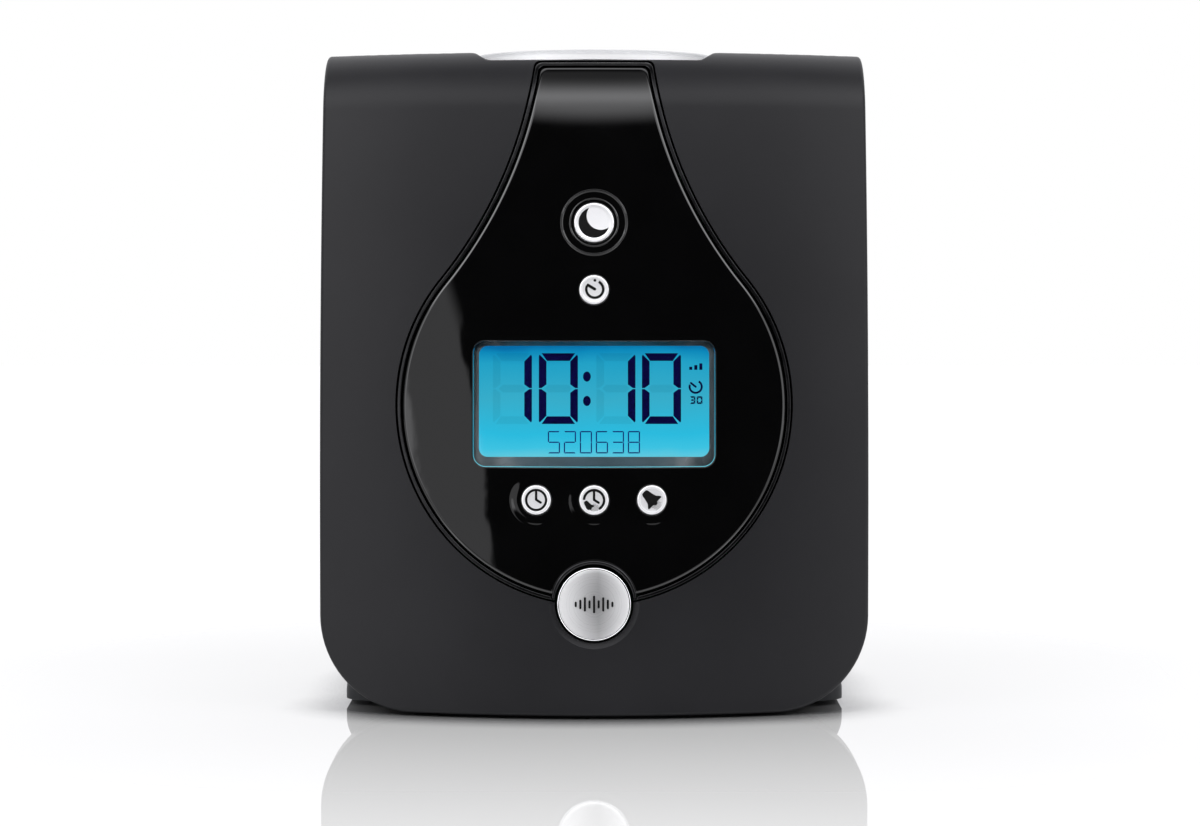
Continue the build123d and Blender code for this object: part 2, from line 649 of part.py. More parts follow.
# ---------------------------------------------------------------- front buttons and their board
def build_button(name):
    place, radius = BUTTONS[name]
    top = PANEL_PROUD + BUTTON_PROUD
    lip_top = -WELL_DEPTH - FIT
    lip_bottom = lip_top - BUTTON_LIP_T
    gap = SOUNDS_GAP if name == "sounds_button" else BUTTON_GAP
    switch_depth = board_point(place, SWITCH_T + PLUNGER_H)[1]
    stem_end = FIT + BUTTON_TRAVEL - switch_depth
    cap = disc(radius, lip_bottom, top)
    cap = fillet(circles_at(cap, top), BUTTON_EDGE_R)
    lip = disc(radius + gap + BUTTON_LIP, lip_bottom, lip_top)
    return place * (cap + lip + disc(STEM_R, stem_end, lip_bottom))


def build_control_board():
    low = on_board(0, BOARD_LOW_Z, BOARD_DEPTH)
    height = (BOARD_HIGH_Z - BOARD_LOW_Z) / DISPLAY_FRAME.y_dir.Z
    board = low * block(-BOARD_HALF_W, BOARD_HALF_W, 0, height, -BOARD_T, 0)
    for x, z in BOARD_POSTS:
        board -= on_board(x, z, BOARD_DEPTH) * disc(SCREW_R + LOOSE, -BOARD_T - FIT, FIT)
    return board


def tact_switch():
    half = SWITCH_W / 2
    return block(-half, half, -half, half, 0, SWITCH_T) + disc(PLUNGER_R, SWITCH_T, SWITCH_T + PLUNGER_H)


def build_tact_switches():
    switches = []
    for place, _ in BUTTONS.values():
        foot = board_point(place, 0)[0]
        switches.append(Plane(origin=foot, x_dir=(1, 0, 0), z_dir=DISPLAY_FRAME.z_dir) * tact_switch())
    return Compound(children=switches)


def build_board_screws():
    screws = []
    for x, z in BOARD_POSTS:
        face = on_board(x, z, BOARD_DEPTH)
        rear = face.origin - face.z_dir * BOARD_T
        screws.append(Plane(origin=rear, x_dir=(1, 0, 0), z_dir=-face.z_dir) * screw(BOARD_SCREW))
    for x, y in TOP_POSTS:
        screws.append(Pos(x, y, TOP_BOARD_TOP - BOARD_T) * (Rot(180, 0, 0) * screw(BOARD_SCREW)))
    for x, y in IO_POSTS:
        screws.append(Pos(x, y, IO_BOARD_TOP) * screw(BOARD_SCREW))
    return Compound(children=screws)


# ---------------------------------------------------------------- dial, snooze button and their board
def build_volume_dial():
    crown_top = DIAL_RIM_TOP + DIAL_CROWN
    crown_r = (DIAL_R ** 2 + DIAL_CROWN ** 2) / (2 * DIAL_CROWN)
    crown = Pos(0, 0, crown_top - crown_r) * Sphere(crown_r)
    dial = disc(DIAL_R, RECESS_FLOOR + FIT, crown_top) & crown
    dial = fillet(circles_at(dial, DIAL_RIM_TOP), DIAL_EDGE_R)
    dial -= disc(DIAL_R - DIAL_T, RECESS_FLOOR, DIAL_RIM_TOP - DIAL_T)
    dial += disc(CUP_R + CUP_WALL, CUP_FLOOR, DIAL_RIM_TOP - DIAL_T / 2)
    dial -= disc(CUP_R, CUP_FLOOR + CUP_WALL, crown_top + FIT)
    dial += disc(HUB_R, HUB_BOTTOM, CUP_FLOOR)
    dial -= disc(HUB_BORE_R, HUB_BOTTOM - FIT, crown_top)
    dial -= tube(HUB_R + FIT, HUB_R - CLIP_WIDTH / 3, CLIP_TOP - CLIP_T, CLIP_TOP)
    bowl_r = (DIMPLE_R ** 2 + DIMPLE_DEPTH ** 2) / (2 * DIMPLE_DEPTH)
    middle_r = (DIAL_R + CUP_R) / 2
    dial -= Pos(0, -middle_r, crown_top - DIMPLE_DEPTH + bowl_r) * Sphere(bowl_r)
    return dial_place(dial)


def build_dial_clip():
    inner = HUB_R - CLIP_WIDTH / 3 + SKIN
    ring = tube(inner + CLIP_WIDTH, inner, CLIP_TOP - CLIP_T, CLIP_TOP - SKIN)
    mouth = block(0, FAR, -HUB_R / 2, HUB_R / 2, 0, FAR)
    return dial_place(ring - mouth)


def build_snooze_button():
    cap = disc(SNOOZE_R, SNOOZE_TOP - SNOOZE_T, SNOOZE_TOP)
    cap = fillet(circles_at(cap, SNOOZE_TOP), BUTTON_EDGE_R)
    cap += tube(SNOOZE_R, SNOOZE_R - CUP_WALL, SNOOZE_TOP - SNOOZE_SKIRT, SNOOZE_TOP - SNOOZE_T / 2)
    cap += disc(HUB_BORE_R - SLIP, SNOOZE_STEM_END, SNOOZE_TOP - SNOOZE_T / 2)
    return dial_place(cap)


def build_dial_encoder():
    half = ENCODER_W / 2
    body = block(-half, half, -half, half, TOP_BOARD_TOP, ENCODER_TOP)
    return dial_place(body - disc(HUB_R + FIT, TOP_BOARD_TOP - FIT, ENCODER_TOP + FIT))


def build_top_board():
    half_w = TOP_BOARD_W / 2
    half_d = TOP_BOARD_D / 2
    board = dial_place(block(-half_w, half_w, -half_d, half_d, TOP_BOARD_TOP - BOARD_T, TOP_BOARD_TOP))
    for x, y in TOP_POSTS:
        board -= Pos(x, y, 0) * disc(SCREW_R + LOOSE, TOP_BOARD_TOP - BOARD_T - FIT, TOP_BOARD_TOP + FIT)
    return board


def build_snooze_switch():
    return dial_place(Pos(0, 0, TOP_BOARD_TOP) * tact_switch())


# ---------------------------------------------------------------- closing frame and cabinet
def frame_seat_y(x, z):
    """Flat seat for a screw head on the back of the closing frame."""
    return bowed_y(abs(x) + BOSS_R, z, RETURN_DEPTH) + FIT


def build_closing_frame():
    plan = rounded_plan(WIDTH / 2 - SEAT, -FAR / 2, BACK_Y - SEAT, REAR_CORNER_R - SEAT, -FAR / 10, FAR)
    frame = (front_form(FRAME_FRONT) & elevation_form(SEAT) & plan) - front_form(RETURN_DEPTH)
    inner_x = FRAME_SCREW_X - BOSS_R - WALL / 2
    frame -= block(-inner_x, inner_x, FRONT_Y, FRAME_TOP_FRONT_Y, FRAME_LOW_Z, FRAME_HIGH_Z)
    frame -= block(-FRAME_TOP_HALF_W, FRAME_TOP_HALF_W, FRAME_TOP_FRONT_Y, FRAME_TOP_BACK_Y, FRAME_HIGH_Z, FAR)
    wall_middle = FRAME_FRONT + FRAME_T / 2
    behind = front_form(wall_middle)
    for x, z in FRAME_SCREWS:
        frame += along_y(x, z, BOSS_R, FRONT_Y, frame_seat_y(x, z)) & behind
        frame -= along_y(x, z, SCREW_R + LOOSE, FRONT_Y, 0)
    boss_space = band(FRAME_FRONT - FRAME_BOSS, wall_middle)
    for x, z in CABINET_SCREWS:
        frame += along_y(x, z, BOSS_R, FRONT_Y, 0) & boss_space
        frame -= along_y(x, z, SCREW_R + THREAD, FRONT_Y, 0)
    return frame


def rear_outline(margin, y0, y1):
    """The rear opening's rounded outline with a margin, between two depths."""
    height = REAR_OPENING_HIGH_Z - REAR_OPENING_LOW_Z
    outline = RectangleRounded(2 * (REAR_OPENING_HALF_W + margin), height + 2 * margin, REAR_OPENING_R + margin)
    middle_z = (REAR_OPENING_HIGH_Z + REAR_OPENING_LOW_Z) / 2
    return facing_back(0, middle_z) * (Pos(0, 0, y0) * extrude(outline, y1 - y0))


def cabinet_boss_back(z):
    return bowed_y(CABINET_SCREW_X, z, CABINET_DEPTH) + CABINET_BOSS_LENGTH


def build_rear_cabinet():
    low = PLINTH_TOP + SKIN
    outer = rounded_plan(CABINET_HALF_W, -FAR / 2, CABINET_BACK_Y, CABINET_CORNER_R, low, FAR)
    inner = rounded_plan(
        CABINET_HALF_W - WALL, -FAR / 2, COVER_IN_Y, CABINET_CORNER_R - WALL, low - FIT, FAR + FIT
    )
    behind = front_form(CABINET_DEPTH)
    cabinet = (outer - inner) & behind
    cabinet += rear_outline(LEDGE_T, COVER_IN_Y - LEDGE_T, CABINET_BACK_Y - WALL / 2)
    cabinet -= rear_outline(-LEDGE_WIDTH, 0, FAR)
    cabinet -= rear_outline(0, COVER_IN_Y, FAR)
    for x, z in COVER_SCREWS:
        cabinet += along_y(x, z, BOSS_R, COVER_IN_Y - COVER_BOSS, COVER_IN_Y)
        cabinet -= along_y(x, z, SCREW_R + THREAD, COVER_IN_Y - COVER_BOSS + FIT, FAR)
    for x, y in BASE_SCREWS:
        cabinet += Pos(x, y, 0) * disc(BOSS_R, low, PLINTH_TOP + BASE_BOSS)
        cabinet -= Pos(x, y, 0) * disc(SCREW_R + THREAD, 0, PLINTH_TOP + BASE_BOSS - FIT)
    for x, z in CABINET_SCREWS:
        back = cabinet_boss_back(z)
        cabinet += along_y(x, z, BOSS_R, FRONT_Y, back) & behind
        cabinet -= along_y(x, z, SCREW_R + LOOSE, FRONT_Y, back + FIT)
    return cabinet


def build_back_cover():
    cover = rear_outline(-FIT, COVER_IN_Y, CABINET_BACK_Y)
    for x, z in SPEAKER_SCREWS:
        cover += along_y(x, z, BOSS_R, FLANGE_Y, COVER_IN_Y)
        cover -= along_y(x, z, SCREW_R + THREAD, FLANGE_Y - FIT, BASKET_Y + SPEAKER_SCREW + FIT)
    cover -= along_y(0, SPEAKER_Z, GRILLE_R, COVER_IN_Y - FIT, CABINET_BACK_Y + FIT)
    cover -= along_y(POWER_JACK_X, JACK_Z, POWER_NOSE_R + FIT, COVER_IN_Y - FIT, CABINET_BACK_Y + FIT)
    cover -= along_y(AUDIO_JACK_X, JACK_Z, AUDIO_NOSE_R + FIT, COVER_IN_Y - FIT, CABINET_BACK_Y + FIT)
    for x, z in COVER_SCREWS:
        cover -= along_y(x, z, SCREW_R + LOOSE, COVER_IN_Y - FIT, CABINET_BACK_Y + FIT)
        cover -= along_y(x, z, SCREW_HEAD_R + FIT, CABINET_BACK_Y - SCREW_HEAD_T, CABINET_BACK_Y + FIT)
    return cover


# ---------------------------------------------------------------- loudspeaker, its axis along Y
def speaker_place(shape):
    return facing_back(0, SPEAKER_Z) * shape


def grille_slots():
    """Rows of round-ended slots inside a circle, crossed by upright ribs."""
    slots = []
    rows = int(SLOT_FIELD_R / SLOT_PITCH)
    for row in range(-rows, rows + 1):
        height = row * SLOT_PITCH
        reach = sqrt(max(SLOT_FIELD_R ** 2 - (abs(height) + SLOT_H / 2) ** 2, 0))
        ribs = int(reach / RIB_PITCH + 0.5)
        middles = [(rib + 0.5) * RIB_PITCH for rib in range(-ribs - 1, ribs + 1)]
        for middle in middles:
            left = max(middle - (RIB_PITCH - SLOT_RIB) / 2, -reach)
            right = min(middle + (RIB_PITCH - SLOT_RIB) / 2, reach)
            if right - left > 2 * SLOT_H:
                slot = SlotOverall(right - left, SLOT_H)
                slots.append(Pos((left + right) / 2, height, 0) * slot)
    return slots


def build_speaker_grille():
    face_in = CABINET_BACK_Y - GRILLE_T
    grille = disc(GRILLE_R - FIT, COVER_IN_Y - GRILLE_FLANGE_T, CABINET_BACK_Y)
    grille = fillet(circles_at(grille, CABINET_BACK_Y), GRILLE_T / 3)
    grille += disc(GRILLE_R + GRILLE_FLANGE, COVER_IN_Y - GRILLE_FLANGE_T, COVER_IN_Y)
    grille -= disc(SLOT_FIELD_R + FIT, COVER_IN_Y - GRILLE_FLANGE_T - FIT, face_in)
    field = Sketch() + grille_slots()
    return speaker_place(grille - Pos(0, 0, face_in - FIT) * extrude(field, GRILLE_T + 2 * FIT))


def build_speaker_gasket():
    return speaker_place(tube(GRILLE_R + GRILLE_FLANGE, SURROUND_R + GASKET_T, FLANGE_Y, FLANGE_Y + GASKET_T))


def build_speaker_basket():
    side = 2 * (SPEAKER_EAR + BOSS_R)
    plate = Pos(0, 0, BASKET_Y) * extrude(RectangleRounded(side, side, BOSS_R), SPEAKER_FLANGE_T)
    plate -= disc(SURROUND_R + GASKET_T, BASKET_Y - FIT, FLANGE_Y + FIT)
    for i in (-1, 1):
        for j in (-1, 1):
            plate -= Pos(i * SPEAKER_EAR, j * SPEAKER_EAR, 0) * disc(SCREW_R + LOOSE, BASKET_Y - FIT, FAR)
    depth = BASKET_Y - MAGNET_Y
    middle = MAGNET_Y + depth / 2
    skirt_r = SURROUND_R + GASKET_T + BASKET_T
    skirt = Pos(0, 0, middle) * Cone(BASKET_BACK_R, skirt_r, depth)
    skirt -= Pos(0, 0, middle + BASKET_T) * Cone(BASKET_BACK_R - BASKET_T, skirt_r - BASKET_T, depth)
    skirt -= disc(COIL_R + BASKET_T, MAGNET_Y - FIT, BASKET_Y)
    window = block(-FAR, FAR, -BASKET_WINDOW / 2, BASKET_WINDOW / 2, MAGNET_Y + 2 * BASKET_T, BASKET_Y - 2 * BASKET_T)
    skirt -= Rot(0, 0, 45) * (window + Rot(0, 0, 90) * window)
    return speaker_place(plate + skirt)


def build_speaker_surround():
    roll = (SURROUND_R - CONE_R) / 2
    ring = Pos(0, 0, FLANGE_Y) * (Torus(CONE_R + roll, roll) - Torus(CONE_R + roll, roll - SURROUND_T))
    ring &= disc(SURROUND_R + FIT, BASKET_Y - roll, FLANGE_Y)
    return speaker_place(ring + tube(SURROUND_R + GASKET_T, SURROUND_R - SURROUND_T, BASKET_Y, FLANGE_Y))


def build_speaker_cone():
    middle = FLANGE_Y - CONE_DEPTH / 2
    cone = Pos(0, 0, middle) * Cone(COIL_R, CONE_R, CONE_DEPTH)
    cone -= Pos(0, 0, middle + CONE_T * 2) * Cone(COIL_R, CONE_R, CONE_DEPTH)
    return speaker_place(cone - disc(COIL_R - CONE_T, FLANGE_Y - CONE_DEPTH - FIT, FLANGE_Y))


def build_speaker_dust_cap():
    base = FLANGE_Y - CONE_DEPTH + 3 * CONE_T
    cap_r = COIL_R + CONE_T
    bowl_r = (cap_r ** 2 + (cap_r / 3) ** 2) / (2 * cap_r / 3)
    middle = base + cap_r / 3 - bowl_r
    cap = Pos(0, 0, middle) * (Sphere(bowl_r) - Sphere(bowl_r - CONE_T))
    return speaker_place(cap & disc(cap_r, base, FLANGE_Y))


def build_speaker_magnet():
    magnet = disc(MAGNET_R, MAGNET_Y - MAGNET_T, MAGNET_Y)
    rims = magnet.edges().filter_by(GeomType.CIRCLE)
    return speaker_place(fillet(rims, BASKET_T))


# ---------------------------------------------------------------- plinth, batteries, door, feet
def plinth_form():
    block_top = PLINTH_BOTTOM + PLINTH_ROUND + WALL
    form = rounded_plan(PLINTH_HALF_W, -FAR / 2, PLINTH_BACK_Y, PLINTH_CORNER_R, PLINTH_BOTTOM, block_top)
    form = form & front_form(CABINET_DEPTH)
    outermost = [e for e in form.edges() if abs(e.center().X) > PLINTH_HALF_W - FIT]
    front_corners = [e for e in outermost if e.center().Y < 0 and e.length < 2 * block_top]
    form = fillet(front_corners, PLINTH_FRONT_R)
    form = fillet(form.edges().group_by(Axis.Z)[-1], PLINTH_ROUND)
    return form - block(-FAR, FAR, -FAR, FAR, PLINTH_TOP, FAR)


def bay_block(margin, low, high):
    return block(
        -BAY_HALF_W - margin, BAY_HALF_W + margin, BAY_FRONT_Y - margin, BAY_FRONT_Y + BAY_D + margin, low, high
    )


def build_base_plinth():
    floor_top = PLINTH_BOTTOM + PLINTH_FLOOR
    hollow_x = PLINTH_HALF_W - PLINTH_RIM
    plinth = plinth_form()
    plinth -= block(-hollow_x, hollow_x, HOLLOW_FRONT_Y, PLINTH_BACK_Y - PLINTH_RIM, floor_top, FAR)
    plinth += bay_block(BAY_WALL, floor_top - FIT, BAY_TOP + BAY_WALL)
    plinth -= bay_block(0, CHANNEL_TOP - FIT, BAY_TOP)
    for x, y in IO_POSTS:
        plinth += Pos(x, y, 0) * disc(POST_R, floor_top, IO_BOARD_TOP - BOARD_T)
        plinth -= Pos(x, y, 0) * disc(SCREW_R + THREAD, floor_top + FIT, IO_BOARD_TOP)
    half = DOOR_HALF_W + FIT
    plinth -= block(-half, half, DOOR_FRONT_Y - FIT, FAR, PLINTH_BOTTOM - FIT, CHANNEL_TOP)
    groove = half + DOOR_TONGUE
    groove_low = DOOR_BOTTOM + (DOOR_T - DOOR_TONGUE_T) / 2 - FIT
    plinth -= block(-groove, groove, DOOR_FRONT_Y - FIT, FAR, groove_low, groove_low + DOOR_TONGUE_T + 2 * FIT)
    for x, y in FEET:
        plinth -= Pos(x, y, 0) * disc(FOOT_R + SLIP, 0, PLINTH_BOTTOM + FOOT_SEAT)
    for x, y in BASE_SCREWS:
        plinth -= Pos(x, y, 0) * disc(SCREW_R + LOOSE, 0, FAR)
        plinth -= Pos(x, y, 0) * disc(SCREW_HEAD_R + FIT, 0, BASE_SCREW_SEAT)
    return plinth


def build_battery_door():
    outline = plinth_form()
    plate = block(-DOOR_HALF_W, DOOR_HALF_W, DOOR_FRONT_Y, FAR, DOOR_BOTTOM, DOOR_BOTTOM + DOOR_T)
    tongue_low = DOOR_BOTTOM + (DOOR_T - DOOR_TONGUE_T) / 2
    tongue_x = DOOR_HALF_W + DOOR_TONGUE
    plate += block(-tongue_x, tongue_x, DOOR_FRONT_Y, FAR, tongue_low, tongue_low + DOOR_TONGUE_T)
    door = plate & outline
    for i in range(GRIP_COUNT):
        y = PLINTH_BACK_Y - GRIP_PITCH * (i + 2)
        door -= block(-GRIP_HALF_W, GRIP_HALF_W, y - GRIP_W / 2, y + GRIP_W / 2, 0, DOOR_BOTTOM + GRIP_W / 2)
    return door


def cell_y(index):
    return BAY_FRONT_Y + FIT + CELL_R + index * CELL_PITCH


def build_battery_cells():
    cells = []
    for index in range(CELL_COUNT):
        turn = -1 if index % 2 else 1
        cell = disc(CELL_R, -CELL_LENGTH / 2, CELL_LENGTH / 2)
        cell = fillet(cell.edges().filter_by(GeomType.CIRCLE), CELL_R / 10)
        cell += disc(CELL_R * 0.38, CELL_LENGTH / 2, CELL_LENGTH / 2 + 2 * CONTACT_T)
        cells.append(Pos(0, cell_y(index), CHANNEL_TOP + CELL_R) * (Rot(0, 90 * turn, 0) * cell))
    return Compound(children=cells)


def build_battery_contacts():
    plates = []
    for side in (-1, 1):
        x0, x1 = sorted((side * BAY_HALF_W, side * (BAY_HALF_W - CONTACT_T)))
        y1 = BAY_FRONT_Y + BAY_D - FIT
        plates.append(block(x0, x1, BAY_FRONT_Y + FIT, y1, CHANNEL_TOP + CONTACT_T, BAY_TOP - CONTACT_T))
    return Compound(children=plates)


def build_feet():
    foot = disc(FOOT_R, 0, PLINTH_BOTTOM + FOOT_SEAT)
    foot = fillet(circles_at(foot, 0), FOOT_SEAT / 2)
    return Compound(children=[Pos(x, y, 0) * foot for x, y in FEET])


# ---------------------------------------------------------------- jacks and their board
def jack_body(x):
    half = JACK_BODY_W / 2
    return block(x - half, x + half, COVER_IN_Y - FIT - JACK_BODY_L, COVER_IN_Y - FIT, JACK_FLOOR, JACK_Z + half)


def build_audio_jack():
    jack = jack_body(AUDIO_JACK_X) + along_y(AUDIO_JACK_X, JACK_Z, AUDIO_NOSE_R, COVER_IN_Y - WALL, CABINET_BACK_Y)
    return jack - along_y(AUDIO_JACK_X, JACK_Z, AUDIO_BORE_R, CABINET_BACK_Y - AUDIO_BORE_DEPTH, FAR)


def build_power_jack():
    jack = jack_body(POWER_JACK_X) + along_y(POWER_JACK_X, JACK_Z, POWER_NOSE_R, COVER_IN_Y - WALL, CABINET_BACK_Y)
    floor_y = CABINET_BACK_Y - POWER_PIN_LENGTH - POWER_PIN_SINK
    jack -= along_y(POWER_JACK_X, JACK_Z, POWER_BORE_R, floor_y, FAR)
    return jack + along_y(POWER_JACK_X, JACK_Z, POWER_PIN_R, floor_y - FIT, floor_y + POWER_PIN_LENGTH)


def build_jack_board():
    half = IO_BOARD_W / 2
    back_y = COVER_IN_Y - FIT
    board = block(-half, half, back_y - IO_BOARD_D, back_y, IO_BOARD_TOP - BOARD_T, IO_BOARD_TOP)
    for x, y in IO_POSTS:
        board -= Pos(x, y, 0) * disc(SCREW_R + LOOSE, 0, FAR)
    return board


# ---------------------------------------------------------------- housing screws
def build_frame_screws():
    heads = [facing_back(x, z) * screw(FRAME_SCREW, frame_seat_y(x, z)) for x, z in FRAME_SCREWS]
    return Compound(children=heads)


def build_cabinet_screws():
    heads = [facing_back(x, z) * screw(CABINET_SCREW, cabinet_boss_back(z)) for x, z in CABINET_SCREWS]
    return Compound(children=heads)


def build_cover_screws():
    seat = CABINET_BACK_Y - SCREW_HEAD_T
    return Compound(children=[facing_back(x, z) * screw(COVER_SCREW, seat) for x, z in COVER_SCREWS])


def build_speaker_screws():
    seats = [Plane(origin=(x, BASKET_Y, z), x_dir=(1, 0, 0), z_dir=(0, -1, 0)) for x, z in SPEAKER_SCREWS]
    return Compound(children=[seat * screw(SPEAKER_SCREW) for seat in seats])


def build_base_screws():
    seats = [Pos(x, y, BASE_SCREW_SEAT) * Rot(180, 0, 0) for x, y in BASE_SCREWS]
    return Compound(children=[seat * screw(BASE_SCREW) for seat in seats])


# ---------------------------------------------------------------- all sub-parts
PARTS = {
    "front_shell": build_front_shell,
    "face_panel": build_face_panel,
    "trim_ring": build_trim_ring,
    "display_window": build_display_window,
    "lcd_holder": build_lcd_holder,
    "lcd_glass": build_lcd_glass,
    "lcd_light_guide": build_lcd_light_guide,
    "control_board": build_control_board,
    "tact_switches": build_tact_switches,
    "board_screws": build_board_screws,
    "volume_dial": build_volume_dial,
    "dial_clip": build_dial_clip,
    "snooze_button": build_snooze_button,
    "dial_encoder": build_dial_encoder,
    "top_board": build_top_board,
    "snooze_switch": build_snooze_switch,
    "closing_frame": build_closing_frame,
    "frame_screws": build_frame_screws,
    "rear_cabinet": build_rear_cabinet,
    "cabinet_screws": build_cabinet_screws,
    "back_cover": build_back_cover,
    "cover_screws": build_cover_screws,
    "speaker_grille": build_speaker_grille,
    "speaker_gasket": build_speaker_gasket,
    "speaker_basket": build_speaker_basket,
    "speaker_surround": build_speaker_surround,
    "speaker_cone": build_speaker_cone,
    "speaker_dust_cap": build_speaker_dust_cap,
    "speaker_magnet": build_speaker_magnet,
    "speaker_screws": build_speaker_screws,
    "base_plinth": build_base_plinth,
    "base_screws": build_base_screws,
    "battery_door": build_battery_door,
    "battery_cells": build_battery_cells,
    "battery_contacts": build_battery_contacts,
    "feet": build_feet,
    "audio_jack": build_audio_jack,
    "power_jack": build_power_jack,
    "jack_board": build_jack_board,
}

os.makedirs("parts", exist_ok=True)
for node, build in PARTS.items():
    export_step(build(), f"parts/{node}.step")
for node in BUTTONS:
    export_step(build_button(node), f"parts/{node}.step")
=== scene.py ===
"""A white noise sound machine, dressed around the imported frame.

Lengths in the geometry code are millimetres in the frame's axes: +X right, +Y to the back, +Z up.
They become metres when a mesh is made.
"""

from math import acos, asin, atan2, cos, hypot, pi, radians, sin, sqrt

import bpy
from mathutils import Matrix, Vector
from mathutils.geometry import delaunay_2d_cdt


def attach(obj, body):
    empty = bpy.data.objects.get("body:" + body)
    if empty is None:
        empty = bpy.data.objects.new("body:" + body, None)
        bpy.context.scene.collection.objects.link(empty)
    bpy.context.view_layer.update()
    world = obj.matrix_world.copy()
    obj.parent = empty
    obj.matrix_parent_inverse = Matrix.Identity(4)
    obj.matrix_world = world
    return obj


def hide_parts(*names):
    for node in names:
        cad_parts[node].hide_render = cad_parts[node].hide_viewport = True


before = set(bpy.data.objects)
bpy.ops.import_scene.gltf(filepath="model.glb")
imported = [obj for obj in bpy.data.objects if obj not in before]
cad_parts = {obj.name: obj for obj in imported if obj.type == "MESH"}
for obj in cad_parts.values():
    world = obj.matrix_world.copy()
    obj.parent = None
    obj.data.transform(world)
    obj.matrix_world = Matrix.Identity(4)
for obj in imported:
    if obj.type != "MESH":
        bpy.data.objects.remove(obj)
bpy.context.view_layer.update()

MM = 0.001
UP = Vector((0, 0, 1))
DOWN = -UP

# ---------------------------------------------------------------- the hood's form
WIDTH = 165.0
BACK_Y = 64.4
FRONT_Y = -63.5           # the hood's skin at its waist
HOOD_TOP = 199.0
HOOD_BOTTOM = 1.0
BOW_R = 200.0             # plan radius of the bowed front
FRONT_R = 700.0           # side-view radius of the front
WAIST_Z = 34.5
BROW_R = 22.0             # roundover from front to top
CORNER_R = 28.0
REAR_CORNER_R = 16.0
EDGE_R = 1.2
WALL = 2.5
RETURN_DEPTH = 14.0
SEAM_SOFT = 0.12          # broken edge of the openings
LAND_Z = 196.05           # the hood is lower before the dial, so that its edge shows
LAND_HALF_W = 31.5
LAND_END = 37.5
LAND_SOFT = 0.25          # rounding where the land meets the skin

BOW_AXIS_Y = FRONT_Y + BOW_R
FRONT_AXIS_Y = FRONT_Y + FRONT_R
BROW_Z = HOOD_TOP - BROW_R
BROW_Y = FRONT_AXIS_Y - sqrt((FRONT_R - BROW_R) ** 2 - (BROW_Z - WAIST_Z) ** 2)
BROW_ANGLE = atan2(BROW_Z - WAIST_Z, FRONT_AXIS_Y - BROW_Y)
BROW_RHO = BOW_AXIS_Y - BROW_Y           # of the brow's centre line, from the bow's axis
RUN_FRONT = FRONT_R * BROW_ANGLE         # run along the profile, from the waist to the brow
RUN_BROW = RUN_FRONT + BROW_R * (pi / 2 - BROW_ANGLE)

# ---------------------------------------------------------------- drop opening, trim and panel
BULB_R = 59.1
BULB_Z = 92.9
NECK_R = 127.9
NECK_HALF_WIDTH = 17.9
NECK_TOP = 195.6
NECK_CORNER_R = 2.0
TRIM_GAP = 0.5
TRIM_WIDTH = 1.1
TRIM_PROUD = 0.25
TRIM_DEPTH = 2.5
PANEL_INSET = 1.9
PANEL_PROUD = 0.4
PANEL_EDGE_R = 1.3
PANEL_BACK = 4.0
WINDOW_LOW = 74.8
WINDOW_HIGH = 111.8
WINDOW_WIDTH = 71.6
WINDOW_R = 3.6
WINDOW_EDGE = 0.35        # roundover from the panel into the window

# ---------------------------------------------------------------- buttons: place on the front, radius
BUTTON_TOP = 0.75
BUTTONS = {
    "timer_button": (0.0, 127.0, 4.35),
    "clock_button": (-17.0, 65.2, 4.35),
    "alarm_set_button": (0.0, 65.2, 4.35),
    "alarm_button": (17.0, 65.2, 4.35),
    "moon_button": (0.0, 146.8, 5.9),
    "sounds_button": (0.0, WAIST_Z, 10.9),
}
PANEL_HOLES = [name for name in BUTTONS if name != "sounds_button"]
SOUNDS_Z = WAIST_Z
SOUNDS_BORE_R = 11.65
LEAD_IN = 0.8             # depth and width of the hood's soft chamfer round the large button
LEAD_WIDTH = 1.7
BORE_GAP = 0.25
NOTCH_GAP = 0.35          # from the large button's bore to the panel
TRIM_CUT_GAP = 0.15       # and to the ends of the trim
MOUND_R = 8.4             # the panel swells softly round each small button
MOUND_STEEP_R = 7.2
MOUND_TOP_R = 4.9
MOUND_SLOPE = 0.158
TIMER_SLOPE = 0.08
MOON_BEADS = ((9.6, 0.45, 0.28), (7.1, 0.3, 0.12))   # radius, half width and height of each

# ---------------------------------------------------------------- dial
DIAL_Y = 2.0
DIAL_R = 37.5
DIAL_RIM_TOP = 199.2
DIAL_CROWN = 0.8
DIAL_EDGE_R = 1.2
DIAL_UNDER = 196.2        # lower edge of the dial's skirt
DIMPLE_R = 7.5
DIMPLE_DEPTH = 1.2
DIMPLE_AT = 26.25         # distance of the dimple from the dial's middle
CUP_R = 15.0
CUP_EDGE_R = 0.4
CUP_FLOOR = 191.7
HUB_R = CUP_R + 1.5
SNOOZE_R = 14.6
SNOOZE_TOP = DIAL_RIM_TOP + DIAL_CROWN - 0.3
SNOOZE_EDGE_R = 0.6
RECESS_R = 39.5
RECESS_FLOOR = 195.4
RECESS_WALL = 0.3         # thickness of its side wall under the skin
WELL_R = 16.9             # room for the dial's hub
WELL_FLOOR = 191.4
WELL_WALL = 1.2
FLOOR_WALL = 2.0


# ---------------------------------------------------------------- shader nodes
def feed(tree, made, inputs):
    """Sets a node's inputs by name or number: a socket is linked, a plain value is stored."""
    for key, value in inputs.items():
        if isinstance(value, bpy.types.NodeSocket):
            tree.links.new(value, made.inputs[key])
        else:
            made.inputs[key].default_value = value


def node(tree, kind, inputs=None, **settings):
    made = tree.nodes.new(kind)
    for key, value in settings.items():
        setattr(made, key, value)
    feed(tree, made, inputs or {})
    return made


def math_node(tree, operation, *values):
    return node(tree, "ShaderNodeMath", dict(enumerate(values)), operation=operation).outputs["Value"]


